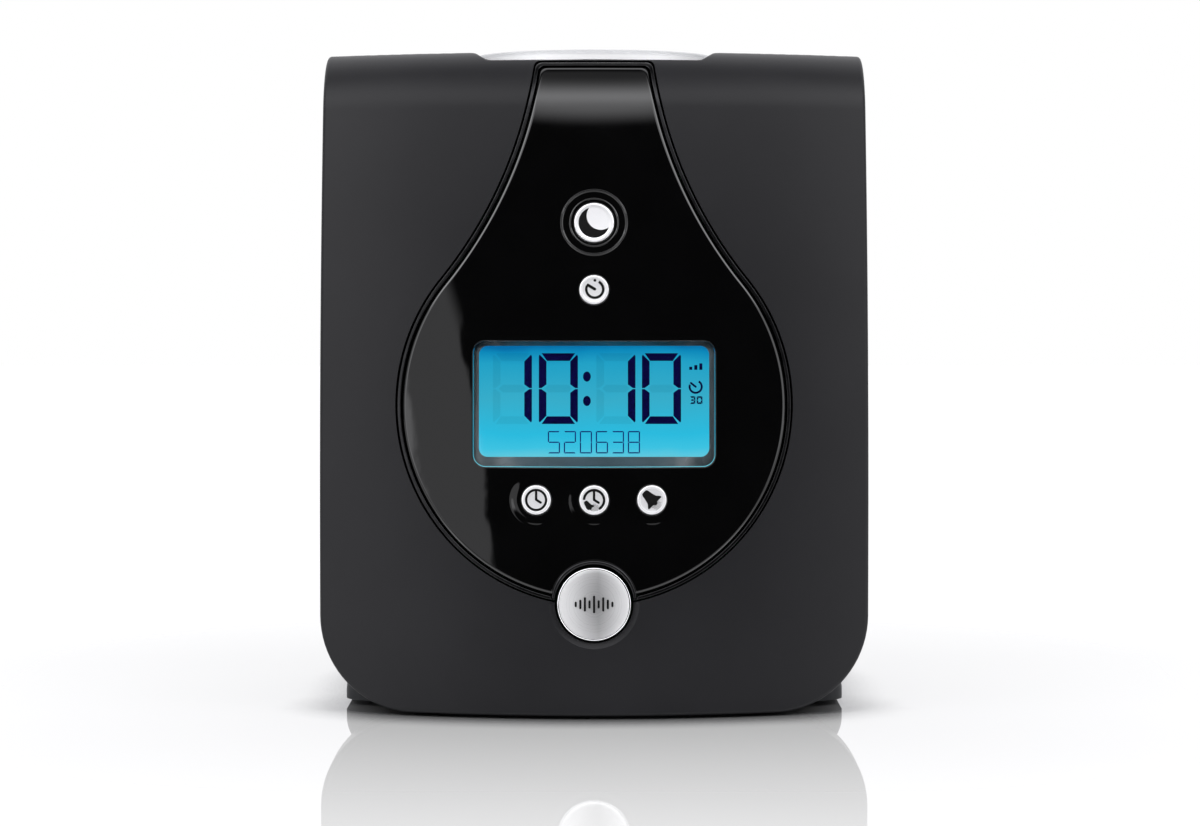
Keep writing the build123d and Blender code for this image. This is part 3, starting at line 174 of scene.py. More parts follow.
def vector_math(tree, operation, *values):
    return node(tree, "ShaderNodeVectorMath", dict(enumerate(values)), operation=operation).outputs


def product(tree, *factors):
    total = factors[0]
    for factor in factors[1:]:
        total = math_node(tree, "MULTIPLY", total, factor)
    return total


def total_of(tree, *parts):
    total = parts[0]
    for part in parts[1:]:
        total = math_node(tree, "ADD", total, part)
    return total


def largest(tree, *values):
    most = values[0]
    for value in values[1:]:
        most = math_node(tree, "MAXIMUM", most, value)
    return most


def between(tree, source, low, high, start=0.0, end=1.0, curve="LINEAR"):
    """Goes from low to high as the source goes from start to end."""
    inputs = {"Value": source, "From Min": start, "From Max": end, "To Min": low, "To Max": high}
    return node(tree, "ShaderNodeMapRange", inputs, interpolation_type=curve).outputs["Result"]


def rise(tree, source, start, end, low=0.0, high=1.0):
    return between(tree, source, low, high, start, end, "SMOOTHSTEP")


def place_of(tree, space="Object"):
    return node(tree, "ShaderNodeTexCoord").outputs[space]


def axes_of(tree, vector):
    return node(tree, "ShaderNodeSeparateXYZ", {"Vector": vector}).outputs


def noise_of(tree, scale, detail=4.0, roughness=0.55, space="Object"):
    """Noise in a space's coordinates; scale is in features per unit."""
    inputs = {"Vector": place_of(tree, space), "Scale": scale, "Detail": detail, "Roughness": roughness}
    return node(tree, "ShaderNodeTexNoise", inputs).outputs["Fac"]


def ramp(tree, source, *stops):
    """A colour ramp from (position, colour) stops."""
    made = node(tree, "ShaderNodeValToRGB", {"Fac": source})
    band = made.color_ramp
    while len(band.elements) < len(stops):
        band.elements.new(0.5)
    for element, (position, colour) in zip(band.elements, stops):
        element.position = position
        element.color = (*colour, 1.0)
    return made.outputs["Color"]


def mix_shaders(tree, share, first, second):
    return node(tree, "ShaderNodeMixShader", {"Fac": share, 1: first, 2: second}).outputs["Shader"]


# ---------------------------------------------------------------- materials
def srgb(red, green, blue):
    """Linear colour of an 8-bit sRGB one."""
    def linear(value):
        value /= 255
        return value / 12.92 if value <= 0.04045 else ((value + 0.055) / 1.055) ** 2.4
    return (linear(red), linear(green), linear(blue))


def grey(value, blue=0.0):
    return (value, value, value + blue)


def new_material(name):
    material = bpy.data.materials.new(name)
    material.use_nodes = True
    tree = material.node_tree
    return material, tree, tree.nodes["Principled BSDF"]


def mottled(name, dark, light, scale, detail, rough, edge=0.3, metallic=0.0):
    """One noise drives both the colour, from dark to light, and the roughness, from low to high."""
    material, tree, shader = new_material(name)
    cloud = noise_of(tree, scale, detail)
    feed(tree, shader, {
        "Base Color": ramp(tree, cloud, (edge, dark), (1 - edge, light)),
        "Roughness": between(tree, cloud, *rough),
        "Metallic": metallic,
    })
    return material


def matte_plastic(name, dark, light, roughness=0.55, grain=2600.0, shine=0.5):
    """Moulded plastic with a fine spark-eroded texture and a slight cloud in its colour."""
    material, tree, shader = new_material(name)
    texture = noise_of(tree, grain, 2.0)
    relief = node(tree, "ShaderNodeBump", {"Height": texture, "Strength": 0.35, "Distance": 0.00002})
    feed(tree, shader, {
        "Base Color": ramp(tree, noise_of(tree, 30.0, 3.0), (0.3, dark), (0.7, light)),
        "Roughness": between(tree, texture, roughness - 0.05, roughness + 0.05),
        "Normal": relief.outputs["Normal"],
        "Specular IOR Level": shine,
    })
    return material


def gloss_plastic(name, colour, roughness=0.03):
    """Polished plastic: a clear deep gloss with the faint waviness of a moulding."""
    darker = tuple(0.7 * c for c in colour)
    return mottled(name, darker, colour, 60.0, 3.0, (roughness * 0.6, roughness * 1.5), 0.35)


def silver_paint(name, dark, light, roughness=0.42):
    """Satin silver lacquer: fine flakes over a pale ground."""
    return mottled(name, dark, light, 14000.0, 2.0, (roughness - 0.06, roughness + 0.06), 0.35, metallic=0.35)


def plain_metal(name, dark, light, roughness=0.25):
    return mottled(name, dark, light, 400.0, 5.0, (roughness - 0.05, roughness + 0.08), metallic=1.0)


def ink(name, colour):
    material, tree, shader = new_material(name)
    brighter = tuple(1.4 * c + 0.004 for c in colour)
    cloud = ramp(tree, noise_of(tree, 3000.0, 2.0), (0.3, colour), (0.7, brighter))
    feed(tree, shader, {"Base Color": cloud, "Specular IOR Level": 0.06})
    return material


def spun_metal(name, radius, roughness=0.3):
    """Metal turned about the piece's own z axis: fine rings, and painted highlights in its colour that grow
    to both sides and towards the rim.
    """
    material, tree, shader = new_material(name)
    per_radius = 1.0 / (radius * MM)
    flat = vector_math(tree, "MULTIPLY", place_of(tree), (per_radius, per_radius, 0.0))["Vector"]
    reach = vector_math(tree, "LENGTH", flat)["Value"]
    inputs = {"W": reach, "Scale": 9.0 * radius, "Detail": 2.0}
    rings = node(tree, "ShaderNodeTexNoise", inputs, noise_dimensions="1D").outputs["Fac"]
    # painted highlights: the colour is lighter left and right of the middle and towards the rim, standing in
    # for the wedges of light on turned metal; the noise adds the real turning rings
    aside = math_node(tree, "ABSOLUTE", math_node(tree, "SUBTRACT", axes_of(tree, flat)["X"], 0.12))
    swell = math_node(tree, "POWER", reach, 2.0)
    lines = product(tree, math_node(tree, "SUBTRACT", rings, 0.5), 0.14)
    rings_and_painted_highlights = total_of(tree, product(tree, aside, 0.7), product(tree, swell, 0.3), lines)
    stops = ((0.05, 0.37), (0.35, 0.58), (0.6, 0.76), (0.9, 0.88))
    tangent = node(tree, "ShaderNodeTangent", direction_type="RADIAL", axis="Z")
    feed(tree, shader, {
        "Base Color": ramp(tree, rings_and_painted_highlights, *((at, grey(value, 0.005)) for at, value in stops)),
        "Roughness": between(tree, rings, roughness - 0.06, roughness + 0.06),
        "Metallic": 0.5,
        "Anisotropic": 0.7,
        "Tangent": tangent.outputs["Tangent"],
    })
    return material


def rim_with_painted_shade(name, low, high):
    """Lacquer pale at its lower edge with painted shade: the colour turns grey over the rounded top, between
    two heights.
    """
    material, tree, shader = new_material(name)
    # painted shade: the colour darkens with height, over the rounded top more than on the side wall
    painted_shade_climb = rise(tree, axes_of(tree, place_of(tree))["Z"], low * MM, high * MM)
    flakes = product(tree, math_node(tree, "SUBTRACT", noise_of(tree, 14000.0, 2.0), 0.5), 0.1)
    stops = ((0.0, grey(0.96)), (0.5, grey(0.80, 0.01)), (1.0, (0.44, 0.445, 0.45)))
    colour = ramp(tree, total_of(tree, painted_shade_climb, flakes), *stops)
    feed(tree, shader, {"Base Color": colour, "Roughness": 0.45, "Metallic": 0.1})
    return material


def backlit(name, stops):
    """A lit display layer: its colour changes with height, darkest at the top edge where a shadow of the
    frame is painted in, with a soft cloud from the light guide.
    """
    material, tree, shader = new_material(name)
    height = between(tree, axes_of(tree, place_of(tree))["Z"], 0.0, 1.0, LIT_LOW * MM, LIT_HIGH * MM)
    sway = math_node(tree, "MULTIPLY_ADD", noise_of(tree, 45.0, 2.0), 0.16, -0.08)
    feed(tree, shader, {
        "Base Color": (0.0, 0.0, 0.0, 1.0),
        "Roughness": 0.4,
        "Specular IOR Level": 0.0,
        "Emission Strength": 1.0,
        "Emission Color": ramp(tree, total_of(tree, height, sway), *stops),
    })
    return material


def clear_window(name):
    """A thin clear cover: what is behind it shows, with the reflection of its two faces."""
    material, tree, shader = new_material(name)
    tree.nodes.remove(shader)
    clear = node(tree, "ShaderNodeBsdfTransparent").outputs["BSDF"]
    smudge = between(tree, noise_of(tree, 90.0, 4.0), 0.02, 0.07)
    shine = node(tree, "ShaderNodeBsdfGlossy", {"Roughness": smudge}).outputs["BSDF"]
    edge = node(tree, "ShaderNodeFresnel", {"IOR": 1.35}).outputs["Fac"]
    feed(tree, tree.nodes["Material Output"], {"Surface": mix_shaders(tree, edge, clear, shine)})
    return material


LIT_LOW = 76.5            # heights between which the display's light changes
LIT_HIGH = 110.0
# the last stops, at the top of the lit area, are darker: a painted shadow of the frame
LCD_STOPS = (
    (0.00, srgb(110, 206, 224)),
    (0.12, srgb(62, 198, 230)),
    (0.25, srgb(44, 190, 226)),
    (0.55, srgb(56, 176, 206)),
    (0.85, srgb(34, 164, 202)),
    (0.95, srgb(12, 140, 190)),
    (1.00, srgb(6, 110, 170)),
)
UNLIT_STOPS = tuple((at, tuple(0.9 * c for c in colour)) for at, colour in LCD_STOPS)
MATERIALS = {
    "shell": matte_plastic("shell_plastic", srgb(26, 26, 28), srgb(29, 29, 31), 0.4, shine=0.17),
    "cabinet": matte_plastic("cabinet_plastic", srgb(34, 35, 37), srgb(38, 39, 41), 0.55, shine=0.2),
    "gloss": gloss_plastic("gloss_panel", (0.0012, 0.0012, 0.0013)),
    "trim": plain_metal("trim", grey(0.02, 0.001), grey(0.03, 0.001), 0.22),
    "spun": spun_metal("spun_button", BUTTONS["sounds_button"][2]),
    "spun_dial": spun_metal("spun_dial", DIAL_R),
    "rim": rim_with_painted_shade("dial_rim", 197.3, 198.7),
    "silver": silver_paint("button_face", grey(0.62, 0.01), grey(0.78, 0.01)),
    "bright": silver_paint("button_rim", grey(0.86, 0.01), grey(0.95, 0.01), 0.3),
    "polished": plain_metal("polished_metal", (0.80, 0.81, 0.82), (0.88, 0.89, 0.90), 0.12),
    "ink": ink("icon_ink", grey(0.004)),
    "hatch": ink("icon_shade", grey(0.12)),
    "glass": clear_window("window_glass"),
    "bevel": gloss_plastic("window_bevel", (0.15, 0.19, 0.21), 0.3),
    "lcd": backlit("lcd_backlight", LCD_STOPS),
    "ghost": backlit("lcd_unlit_segment", UNLIT_STOPS),
    "segment": ink("lcd_segment", srgb(2, 0, 72)),
    "fine_segment": ink("lcd_fine_segment", srgb(20, 40, 130)),
    "screw": plain_metal("screw_steel", grey(0.3, 0.01), grey(0.4, 0.01), 0.3),
    "rubber": matte_plastic("foot_rubber", grey(0.02), grey(0.03), 0.7),
    "grille": matte_plastic("grille_paint", grey(0.012, 0.001), grey(0.018, 0.001), 0.4),
    "cone": matte_plastic("speaker_cone", grey(0.012), grey(0.02), 0.7, 900.0),
    "board": gloss_plastic("circuit_board", (0.01, 0.08, 0.03), 0.3),
    "inner": matte_plastic("inner_plastic", grey(0.05), grey(0.07), 0.5),
    "jack": gloss_plastic("jack_plastic", grey(0.01), 0.2),
}


# ---------------------------------------------------------------- the hood's skin
def skin_at(x, rho, z, angle):
    """Point and outward normal at a distance rho from the bow's axis. The angle is the profile's turn."""
    along = sqrt(rho ** 2 - x ** 2)
    normal = Vector((cos(angle) * x / rho, -cos(angle) * along / rho, sin(angle)))
    return Vector((x, BOW_AXIS_Y - along, z)), normal


def on_front(x, angle, depth):
    reach = FRONT_R - depth
    return skin_at(x, BOW_R - FRONT_R + reach * cos(angle), WAIST_Z + reach * sin(angle), angle)


def on_brow(x, angle, depth):
    reach = BROW_R - depth
    return skin_at(x, BROW_RHO + reach * cos(angle), BROW_Z + reach * sin(angle), angle)


def skin_front(x, z, depth=0.0):
    """Point and outward normal of the front or brow at (x, z), at a depth under the skin."""
    if z <= BROW_Z + (BROW_R - depth) * sin(BROW_ANGLE):
        return on_front(x, asin((z - WAIST_Z) / (FRONT_R - depth)), depth)
    return on_brow(x, asin(min((z - BROW_Z) / (BROW_R - depth), 1.0)), depth)


def skin_run(x, run, depth=0.0):
    """Point and outward normal at x and a run along the profile, from the waist over the brow to the top."""
    if run <= RUN_FRONT:
        return on_front(x, run / FRONT_R, depth)
    if run <= RUN_BROW:
        return on_brow(x, BROW_ANGLE + (run - RUN_FRONT) / BROW_R, depth)
    return skin_at(x, BROW_RHO - (run - RUN_BROW), HOOD_TOP - depth, pi / 2)


def run_of_z(z):
    if z <= BROW_Z + BROW_R * sin(BROW_ANGLE):
        return FRONT_R * asin((z - WAIST_Z) / FRONT_R)
    return RUN_FRONT + BROW_R * (asin((z - BROW_Z) / BROW_R) - BROW_ANGLE)


def run_of_xy(x, y):
    """The run at a point seen from above, on the top or the brow."""
    rho = hypot(x, BOW_AXIS_Y - y)
    if rho <= BROW_RHO:
        return RUN_BROW + BROW_RHO - rho
    return RUN_FRONT + BROW_R * (acos((rho - BROW_RHO) / BROW_R) - BROW_ANGLE)


def runs(loop):
    """A loop of (x, z) on the front as one of (x, run)."""
    return [(x, run_of_z(z)) for x, z in loop]


def lowered(x, run, depth=0.0):
    """A point of the hood's skin with the low land before the dial taken off it."""
    top = skin_run(x, run)[0]
    point = skin_run(x, run, depth)[0]
    if top.y > DIAL_Y or abs(x) > LAND_END:
        return point
    t = max(0.0, (abs(x) - LAND_HALF_W) / (LAND_END - LAND_HALF_W))
    over = top.z - LAND_Z - (HOOD_TOP - LAND_Z) * t * t * (3 - 2 * t)
    if over > -6 * LAND_SOFT:
        point.z -= max(0.0, (over + sqrt(over ** 2 + LAND_SOFT ** 2) - LAND_SOFT * 0.5) / 2)
    return point


def hood_place(x, run, depth=0.0):
    """Point and outward normal of the hood's skin with its low land."""
    step = 0.05
    across = lowered(x + step, run) - lowered(x - step, run)
    along = lowered(x, run + step) - lowered(x, run - step)
    return lowered(x, run, depth), across.cross(along).normalized()


# ---------------------------------------------------------------- mesh maker
def add_object(name, data):
    made = bpy.data.objects.new(name, data)
    bpy.context.scene.collection.objects.link(made)
    return made


def smooth_mesh(name, points, faces, materials, slots):
    mesh = bpy.data.meshes.new(name)
    mesh.from_pydata([p * MM for p in points], [], faces)
    for material in materials:
        mesh.materials.append(material)
    mesh.polygons.foreach_set("use_smooth", [True] * len(faces))
    mesh.polygons.foreach_set("material_index", slots)
    return mesh


class Maker:
    """Collects rings of points and faces, with a normal for each corner of each face."""

    def __init__(self):
        self.points = []
        self.faces = []
        self.normals = []
        self.slots = []
        self.slot = 0
        self.merged = {}

    def ring(self, points):
        start = len(self.points)
        self.points.extend(points)
        return list(range(start, len(self.points)))

    def face(self, corners, normals):
        self.faces.append(corners)
        self.normals.extend(normals)
        self.slots.append(self.slot)

    def bridge(self, first, first_normals, second, second_normals, closed=True, flip=False):
        count = len(first)
        for i in range(count if closed else count - 1):
            j = (i + 1) % count
            corners = [first[i], first[j], second[j], second[i]]
            normals = [first_normals[i], first_normals[j], second_normals[j], second_normals[i]]
            if flip:
                corners.reverse()
                normals.reverse()
            self.face(corners, normals)

    def wall(self, ring, ways, points):
        """A wall from a ring to new points, with the same normals at both. Returns their ring."""
        new = self.ring(points)
        self.bridge(ring, ways, new, ways, flip=True)
        return new

    def sweep(self, ring, normals, sections):
        """A rounded wall from a ring through sections of (points, normals). Returns its last ring."""
        for points, turned in sections:
            new = self.ring(points)
            self.bridge(ring, normals, new, turned, flip=True)
            ring, normals = new, turned
        return ring

    def join(self, first, second):
        """Makes two rings of equal points one."""
        for kept in first:
            gone = min(second, key=lambda i: (self.points[i] - self.points[kept]).length_squared)
            self.merged[gone] = kept

    def build(self, name, *materials):
        faces = [[self.merged.get(i, i) for i in face] for face in self.faces]
        used = sorted({i for face in faces for i in face})
        place = {old: new for new, old in enumerate(used)}
        points = [self.points[i] for i in used]
        faces = [[place[i] for i in face] for face in faces]
        mesh = smooth_mesh(name, points, faces, materials, self.slots)
        mesh.normals_split_custom_set([n.normalized() if n.length else n for n in self.normals])
        return add_object(name, mesh)


def sides_of(loop):
    """The sides of a closed loop as pairs of points."""
    return zip(loop, loop[1:] + loop[:1])


def inside(point, loop):
    """True if a 2-D point is inside a closed loop of 2-D points."""
    x, y = point
    found = False
    for (x0, y0), (x1, y1) in sides_of(loop):
        if (y0 > y) != (y1 > y) and x < x0 + (y - y0) * (x1 - x0) / (y1 - y0):
            found = not found
    return found


def distance_to(point, loop):
    x, y = point
    best = 1e9
    for (x0, y0), (x1, y1) in sides_of(loop):
        dx, dy = x1 - x0, y1 - y0
        t = max(0.0, min(1.0, ((x - x0) * dx + (y - y0) * dy) / max(dx * dx + dy * dy, 1e-12)))
        best = min(best, hypot(x - x0 - t * dx, y - y0 - t * dy))
    return best


def clear_of(point, holes, gap):
    return not any(inside(point, hole) or distance_to(point, hole) < gap for hole in holes)


def staggered_grid(outline, holes, step):
    """Points inside an outline and outside its holes, in rows of a triangular grid."""
    xs, ys = zip(*outline)
    gap = 0.45 * step
    grid = []
    for j in range(1, int((max(ys) - min(ys)) / step) + 1):
        for i in range(1, int((max(xs) - min(xs)) / step) + 1):
            point = (min(xs) + (i - 0.5 * (j % 2)) * step, min(ys) + j * step)
            if inside(point, outline) and distance_to(point, outline) >= gap and clear_of(point, holes, gap):
                grid.append(point)
    return grid


def fill_patch(maker, outline, holes, place, step, flip=False, inner_points=()):
    """Fills the region between an outline and its holes with small triangles on a surface.

    outline and holes are loops of 2-D points. place maps one to (point, normal).
    Returns the vertex numbers of the outline and of each hole."""
    loops = [outline] + list(holes)
    flat = [p for loop in loops for p in loop]
    edges = []
    for loop in loops:
        start, count = len(edges), len(loop)
        edges += [(start + i, start + (i + 1) % count) for i in range(count)]
    flat += staggered_grid(outline, holes, step) + list(inner_points)
    points, _, triangles, origin, _, _ = delaunay_2d_cdt([Vector(p) for p in flat], edges, [], 0, 1e-7)
    numbers = {old: new for new, olds in enumerate(origin) for old in olds}
    placed = [place(p[0], p[1]) for p in points]
    ring = maker.ring([p for p, _ in placed])
    for triangle in triangles:
        middle = sum((points[i] for i in triangle), Vector((0.0, 0.0))) / 3
        if not inside(middle, outline) or any(inside(middle, hole) for hole in holes):
            continue
        corners = [ring[i] for i in triangle]
        normals = [placed[i][1] for i in triangle]
        a, b, c = (placed[i][0] for i in triangle)
        if ((b - a).cross(c - a).dot(normals[0]) < 0) != flip:
            corners.reverse()
            normals.reverse()
        maker.face(corners, [-n for n in normals] if flip else normals)
    rings = []
    start = 0
    for loop in loops:
        rings.append([ring[numbers[start + i]] for i in range(len(loop))])
        start += len(loop)
    return rings


# ---------------------------------------------------------------- outlines
def arc(centre, radius, start, end, steps):
    """Points along an arc, without its last one."""
    cx, cy = centre
    turns = [start + (end - start) * i / steps for i in range(steps)]
    return [(cx + radius * cos(t), cy + radius * sin(t)) for t in turns]


def circle(cx, cy, radius, steps=48):
    return arc((cx, cy), radius, 0, 2 * pi, steps)


def backwards(loop):
    return list(reversed(loop))


def straight(first, last, steps):
    """Points along a line, without its last one."""
    return [tuple(a + (b - a) * i / steps for a, b in zip(first, last)) for i in range(steps)]


def side_ways(loop):
    """Directions across a closed loop in its own plane, to the right of its run."""
    return [(y1 - y0, x0 - x1) for (x0, y0), (x1, y1) in zip(loop[-1:] + loop[:-1], loop[1:] + loop[:1])]


def upright_ways(loop):
    """The same for a wall on an (x, z) loop, as directions in space."""
    return [Vector((across, 0, up)).normalized() for across, up in side_ways(loop)]


def drop_geometry():
    """Centre of the right-hand flank arc of the drop, from its neck's width and top."""
    reach = BULB_R + NECK_R
    span = hypot(NECK_HALF_WIDTH, NECK_TOP - BULB_Z)
    along = (NECK_R ** 2 - reach ** 2 + span ** 2) / (2 * span)
    across = sqrt(NECK_R ** 2 - along ** 2)
    ux = -NECK_HALF_WIDTH / span
    uz = (BULB_Z - NECK_TOP) / span
    return NECK_HALF_WIDTH + ux * along - uz * across, NECK_TOP + uz * along + ux * across


FLANK_X, FLANK_Z = drop_geometry()


def drop_path(inset, notch_r):
    """The drop's outline in (x, z) from the large button's notch up its right side and down its left.

    Also returns the angle at which the outline leaves the notch, seen from the button's middle."""
    bulb = BULB_R - inset
    gap = BULB_Z - SOUNDS_Z
    down = (bulb ** 2 - notch_r ** 2 + gap ** 2) / (2 * gap)
    side = sqrt(bulb ** 2 - down ** 2)
    flank = NECK_R + inset
    join = atan2(FLANK_Z - BULB_Z, FLANK_X)
    top_z = NECK_TOP - inset
    corner_z = top_z - NECK_CORNER_R
    corner_x = FLANK_X - sqrt((flank + NECK_CORNER_R) ** 2 - (corner_z - FLANK_Z) ** 2)
    touch = atan2(FLANK_Z - corner_z, FLANK_X - corner_x)
    flank_end = atan2(corner_z - FLANK_Z, corner_x - FLANK_X) % (2 * pi)
    half = arc((0.0, BULB_Z), bulb, atan2(-down, side), join, 70)
    half += arc((FLANK_X, FLANK_Z), flank, join + pi, flank_end, 60)
    half += arc((corner_x, corner_z), NECK_CORNER_R, touch, pi / 2, 8)
    half += straight((corner_x, top_z), (0.0, top_z), 10)
    return half + [(0.0, top_z)] + [(-x, z) for x, z in reversed(half)], atan2(gap - down, side)


def panel_loop(inset, notch_r):
    """The drop outline with a round notch for the large button at its lowest point."""
    drop, leaves = drop_path(inset, notch_r)
    return drop + arc((0.0, SOUNDS_Z), notch_r, pi - leaves, leaves, 48)[1:]


def opening_loop(inset, bore_r):
    """The hood's opening: the drop joined to the round bore of the large button.

    Returns the loop and, for each point, True where it lies on the bore."""
    drop, leaves = drop_path(inset, bore_r)
    bore = arc((0.0, SOUNDS_Z), bore_r, pi - leaves, 2 * pi + leaves, 60)[1:]
    return drop + bore, [False] * len(drop) + [True] * len(bore)


def hood_outline(inset):
    """The hood's outer edge as (x, run, wall normal), counter-clockwise as seen from the front."""
    half = WIDTH / 2
    corner_x = half - CORNER_R
    corner_z = HOOD_BOTTOM + CORNER_R
    rear_x = half - REAR_CORNER_R
    rear_y = BACK_Y - REAR_CORNER_R
    x = half - inset
    right = [(corner_x * i / 14, run_of_z(HOOD_BOTTOM + inset), DOWN) for i in range(14)]
    for across, down in arc((0.0, 0.0), 1.0, -pi / 2, 0.0, 20):
        reach = CORNER_R - inset
        run = run_of_z(corner_z + reach * down)
        right.append((corner_x + reach * across, run, Vector((across, 0, down))))
    stops = (run_of_z(corner_z), RUN_FRONT, RUN_BROW, run_of_xy(x, rear_y))
    for start, end, steps in zip(stops, stops[1:], (40, 24, 24)):
        right += [(x, start + (end - start) * i / steps, Vector((1, 0, 0))) for i in range(steps)]
    for across, back in arc((0.0, 0.0), 1.0, 0.0, pi / 2, 14):
        reach = REAR_CORNER_R - inset
        px = rear_x + reach * across
        right.append((px, run_of_xy(px, rear_y + reach * back), Vector((across, back, 0))))
    for px, py in straight((rear_x, BACK_Y - inset), (0.0, BACK_Y - inset), 12):
        right.append((px, run_of_xy(px, py), Vector((0, 1, 0))))
    middle = (0.0, run_of_xy(0.0, BACK_Y - inset), Vector((0, 1, 0)))
    return right + [middle] + [(-x, run, Vector((-w.x, w.y, w.z))) for x, run, w in reversed(right[1:])]


def rounded_rectangle(width, height, radius, steps=10):
    half_w = width / 2 - radius
    half_h = height / 2 - radius
    loop = []
    for i, (sx, sy) in enumerate(((1, -1), (1, 1), (-1, 1), (-1, -1))):
        turns = [pi / 2 * (i - 1 + j / steps) for j in range(steps + 1)]
        loop += [(sx * half_w + radius * cos(t), sy * half_h + radius * sin(t)) for t in turns]
    return loop


def upright_rectangle(low, high, width, radius):
    """A rounded rectangle in (x, z) as seen from the front, with points along its long sides."""
    made = []
    for (x0, z0), (x1, z1) in sides_of(rounded_rectangle(width, high - low, radius)):
        count = 24 if abs(x1 - x0) > 20 else 12 if abs(z1 - z0) > 20 else 1
        made += straight((x0, (low + high) / 2 + z0), (x1, (low + high) / 2 + z1), count)
    return made


def window_loop(margin):
    """The window's outline in (x, z), grown by a margin."""
    low = WINDOW_LOW - margin
    high = WINDOW_HIGH + margin
    return upright_rectangle(low, high, WINDOW_WIDTH + 2 * margin, WINDOW_R + margin)


# ---------------------------------------------------------------- hood
def dial_circle(radius):
    return arc((0.0, DIAL_Y), radius, -pi / 2, 3 * pi / 2, 120)


def runs_on_top(loop):
    return [(x, run_of_xy(x, y)) for x, y in loop]


def dense_points(outline, holes):
    """Extra points for the hood's skin, on the brow and on the low land before the dial."""
    made = []
    for row in range(17):
        for i in range(-19, 20):
            point = (4.0 * (i + 0.5 * (row % 2)), RUN_FRONT + (RUN_BROW - RUN_FRONT) * row / 16)
            if clear_of(point, holes, 1.0) and inside(point, outline) and distance_to(point, outline) > 1.0:
                made.append(point)
    low_run = run_of_z(LAND_Z - 2.5)
    for row in range(26):
        for i in range(-32, 33):
            point = (1.25 * (i + 0.5 * (row % 2)), low_run + 0.9 * row)
            if clear_of(point, holes, 0.5):
                made.append(point)
    return made


def build_hood_rim(maker, ring, skin_edge):
    """The hood's outer edge: a small roundover, the side wall, the rim. Returns the inner ring."""
    tops = [skin_run(x, run) for x, run, _ in skin_edge]
    sharp_edge = hood_outline(0.0)
    sharp = [skin_run(x, run) for x, run, _ in sharp_edge]
    walls = [wall for _, _, wall in sharp_edge]
    into = [-(n - wall * n.dot(wall)).normalized() for (_, n), wall in zip(sharp, walls)]
    sections = []
    for step in range(1, 6):
        t = step / 5
        points = []
        turned = []
        for (top, normal), (corner, _), way, wall in zip(tops, sharp, into, walls):
            points.append((1 - t) ** 2 * top + 2 * t * (1 - t) * corner + t * t * (corner + way * EDGE_R))
            turned.append(((1 - t) * normal + t * wall).normalized())
        sections.append((points, turned))
    ring = maker.sweep(ring, [n for _, n in tops], sections)
    deep = [p + way * (RETURN_DEPTH / max(-n.dot(way), 0.3)) for (p, n), way in zip(sharp, into)]
    low = maker.wall(ring, walls, deep)
    inner = maker.wall(low, into, [p - wall * WALL for p, wall in zip(deep, walls)])
    return inner, [-wall for wall in walls]


def build_recess(maker, ring, recess_open, under):
    """The round recess for the dial, with the well for its hub, and their under side."""
    edge_circle = dial_circle(RECESS_R)
    round_in = [Vector((-x, DIAL_Y - y, 0.0)).normalized() for x, y in edge_circle]
    round_out = [-n for n in round_in]
    tops = [lowered(x, run) + DOWN * SEAM_SOFT for x, run in runs_on_top(edge_circle)]
    up = [UP] * len(tops)
    down = [DOWN] * len(tops)

    def level(radius, z):
        return maker.ring([Vector((x, y, z)) for x, y in dial_circle(radius)])

    edge = maker.ring(tops)
    maker.bridge(ring, [hood_place(*p)[1] for p in recess_open], edge, round_in)
    rings = [edge, level(RECESS_R, RECESS_FLOOR), level(WELL_R, RECESS_FLOOR), level(WELL_R, WELL_FLOOR)]
    for upper, lower, ways in zip(rings, rings[1:], (round_in, up, round_in)):
        maker.bridge(upper, ways, lower, ways)
    maker.face(rings[-1], up)
    low = RECESS_FLOOR - FLOOR_WALL
    post_r = WELL_R + WELL_WALL
    post_foot = level(post_r, WELL_FLOOR - FLOOR_WALL)
    rings = [under, level(RECESS_R + RECESS_WALL, low), level(post_r, low), post_foot]
    for upper, lower, ways in zip(rings, rings[1:], (round_out, down, round_out)):
        maker.bridge(upper, ways, lower, ways, flip=True)
    maker.face(backwards(rings[-1]), down)


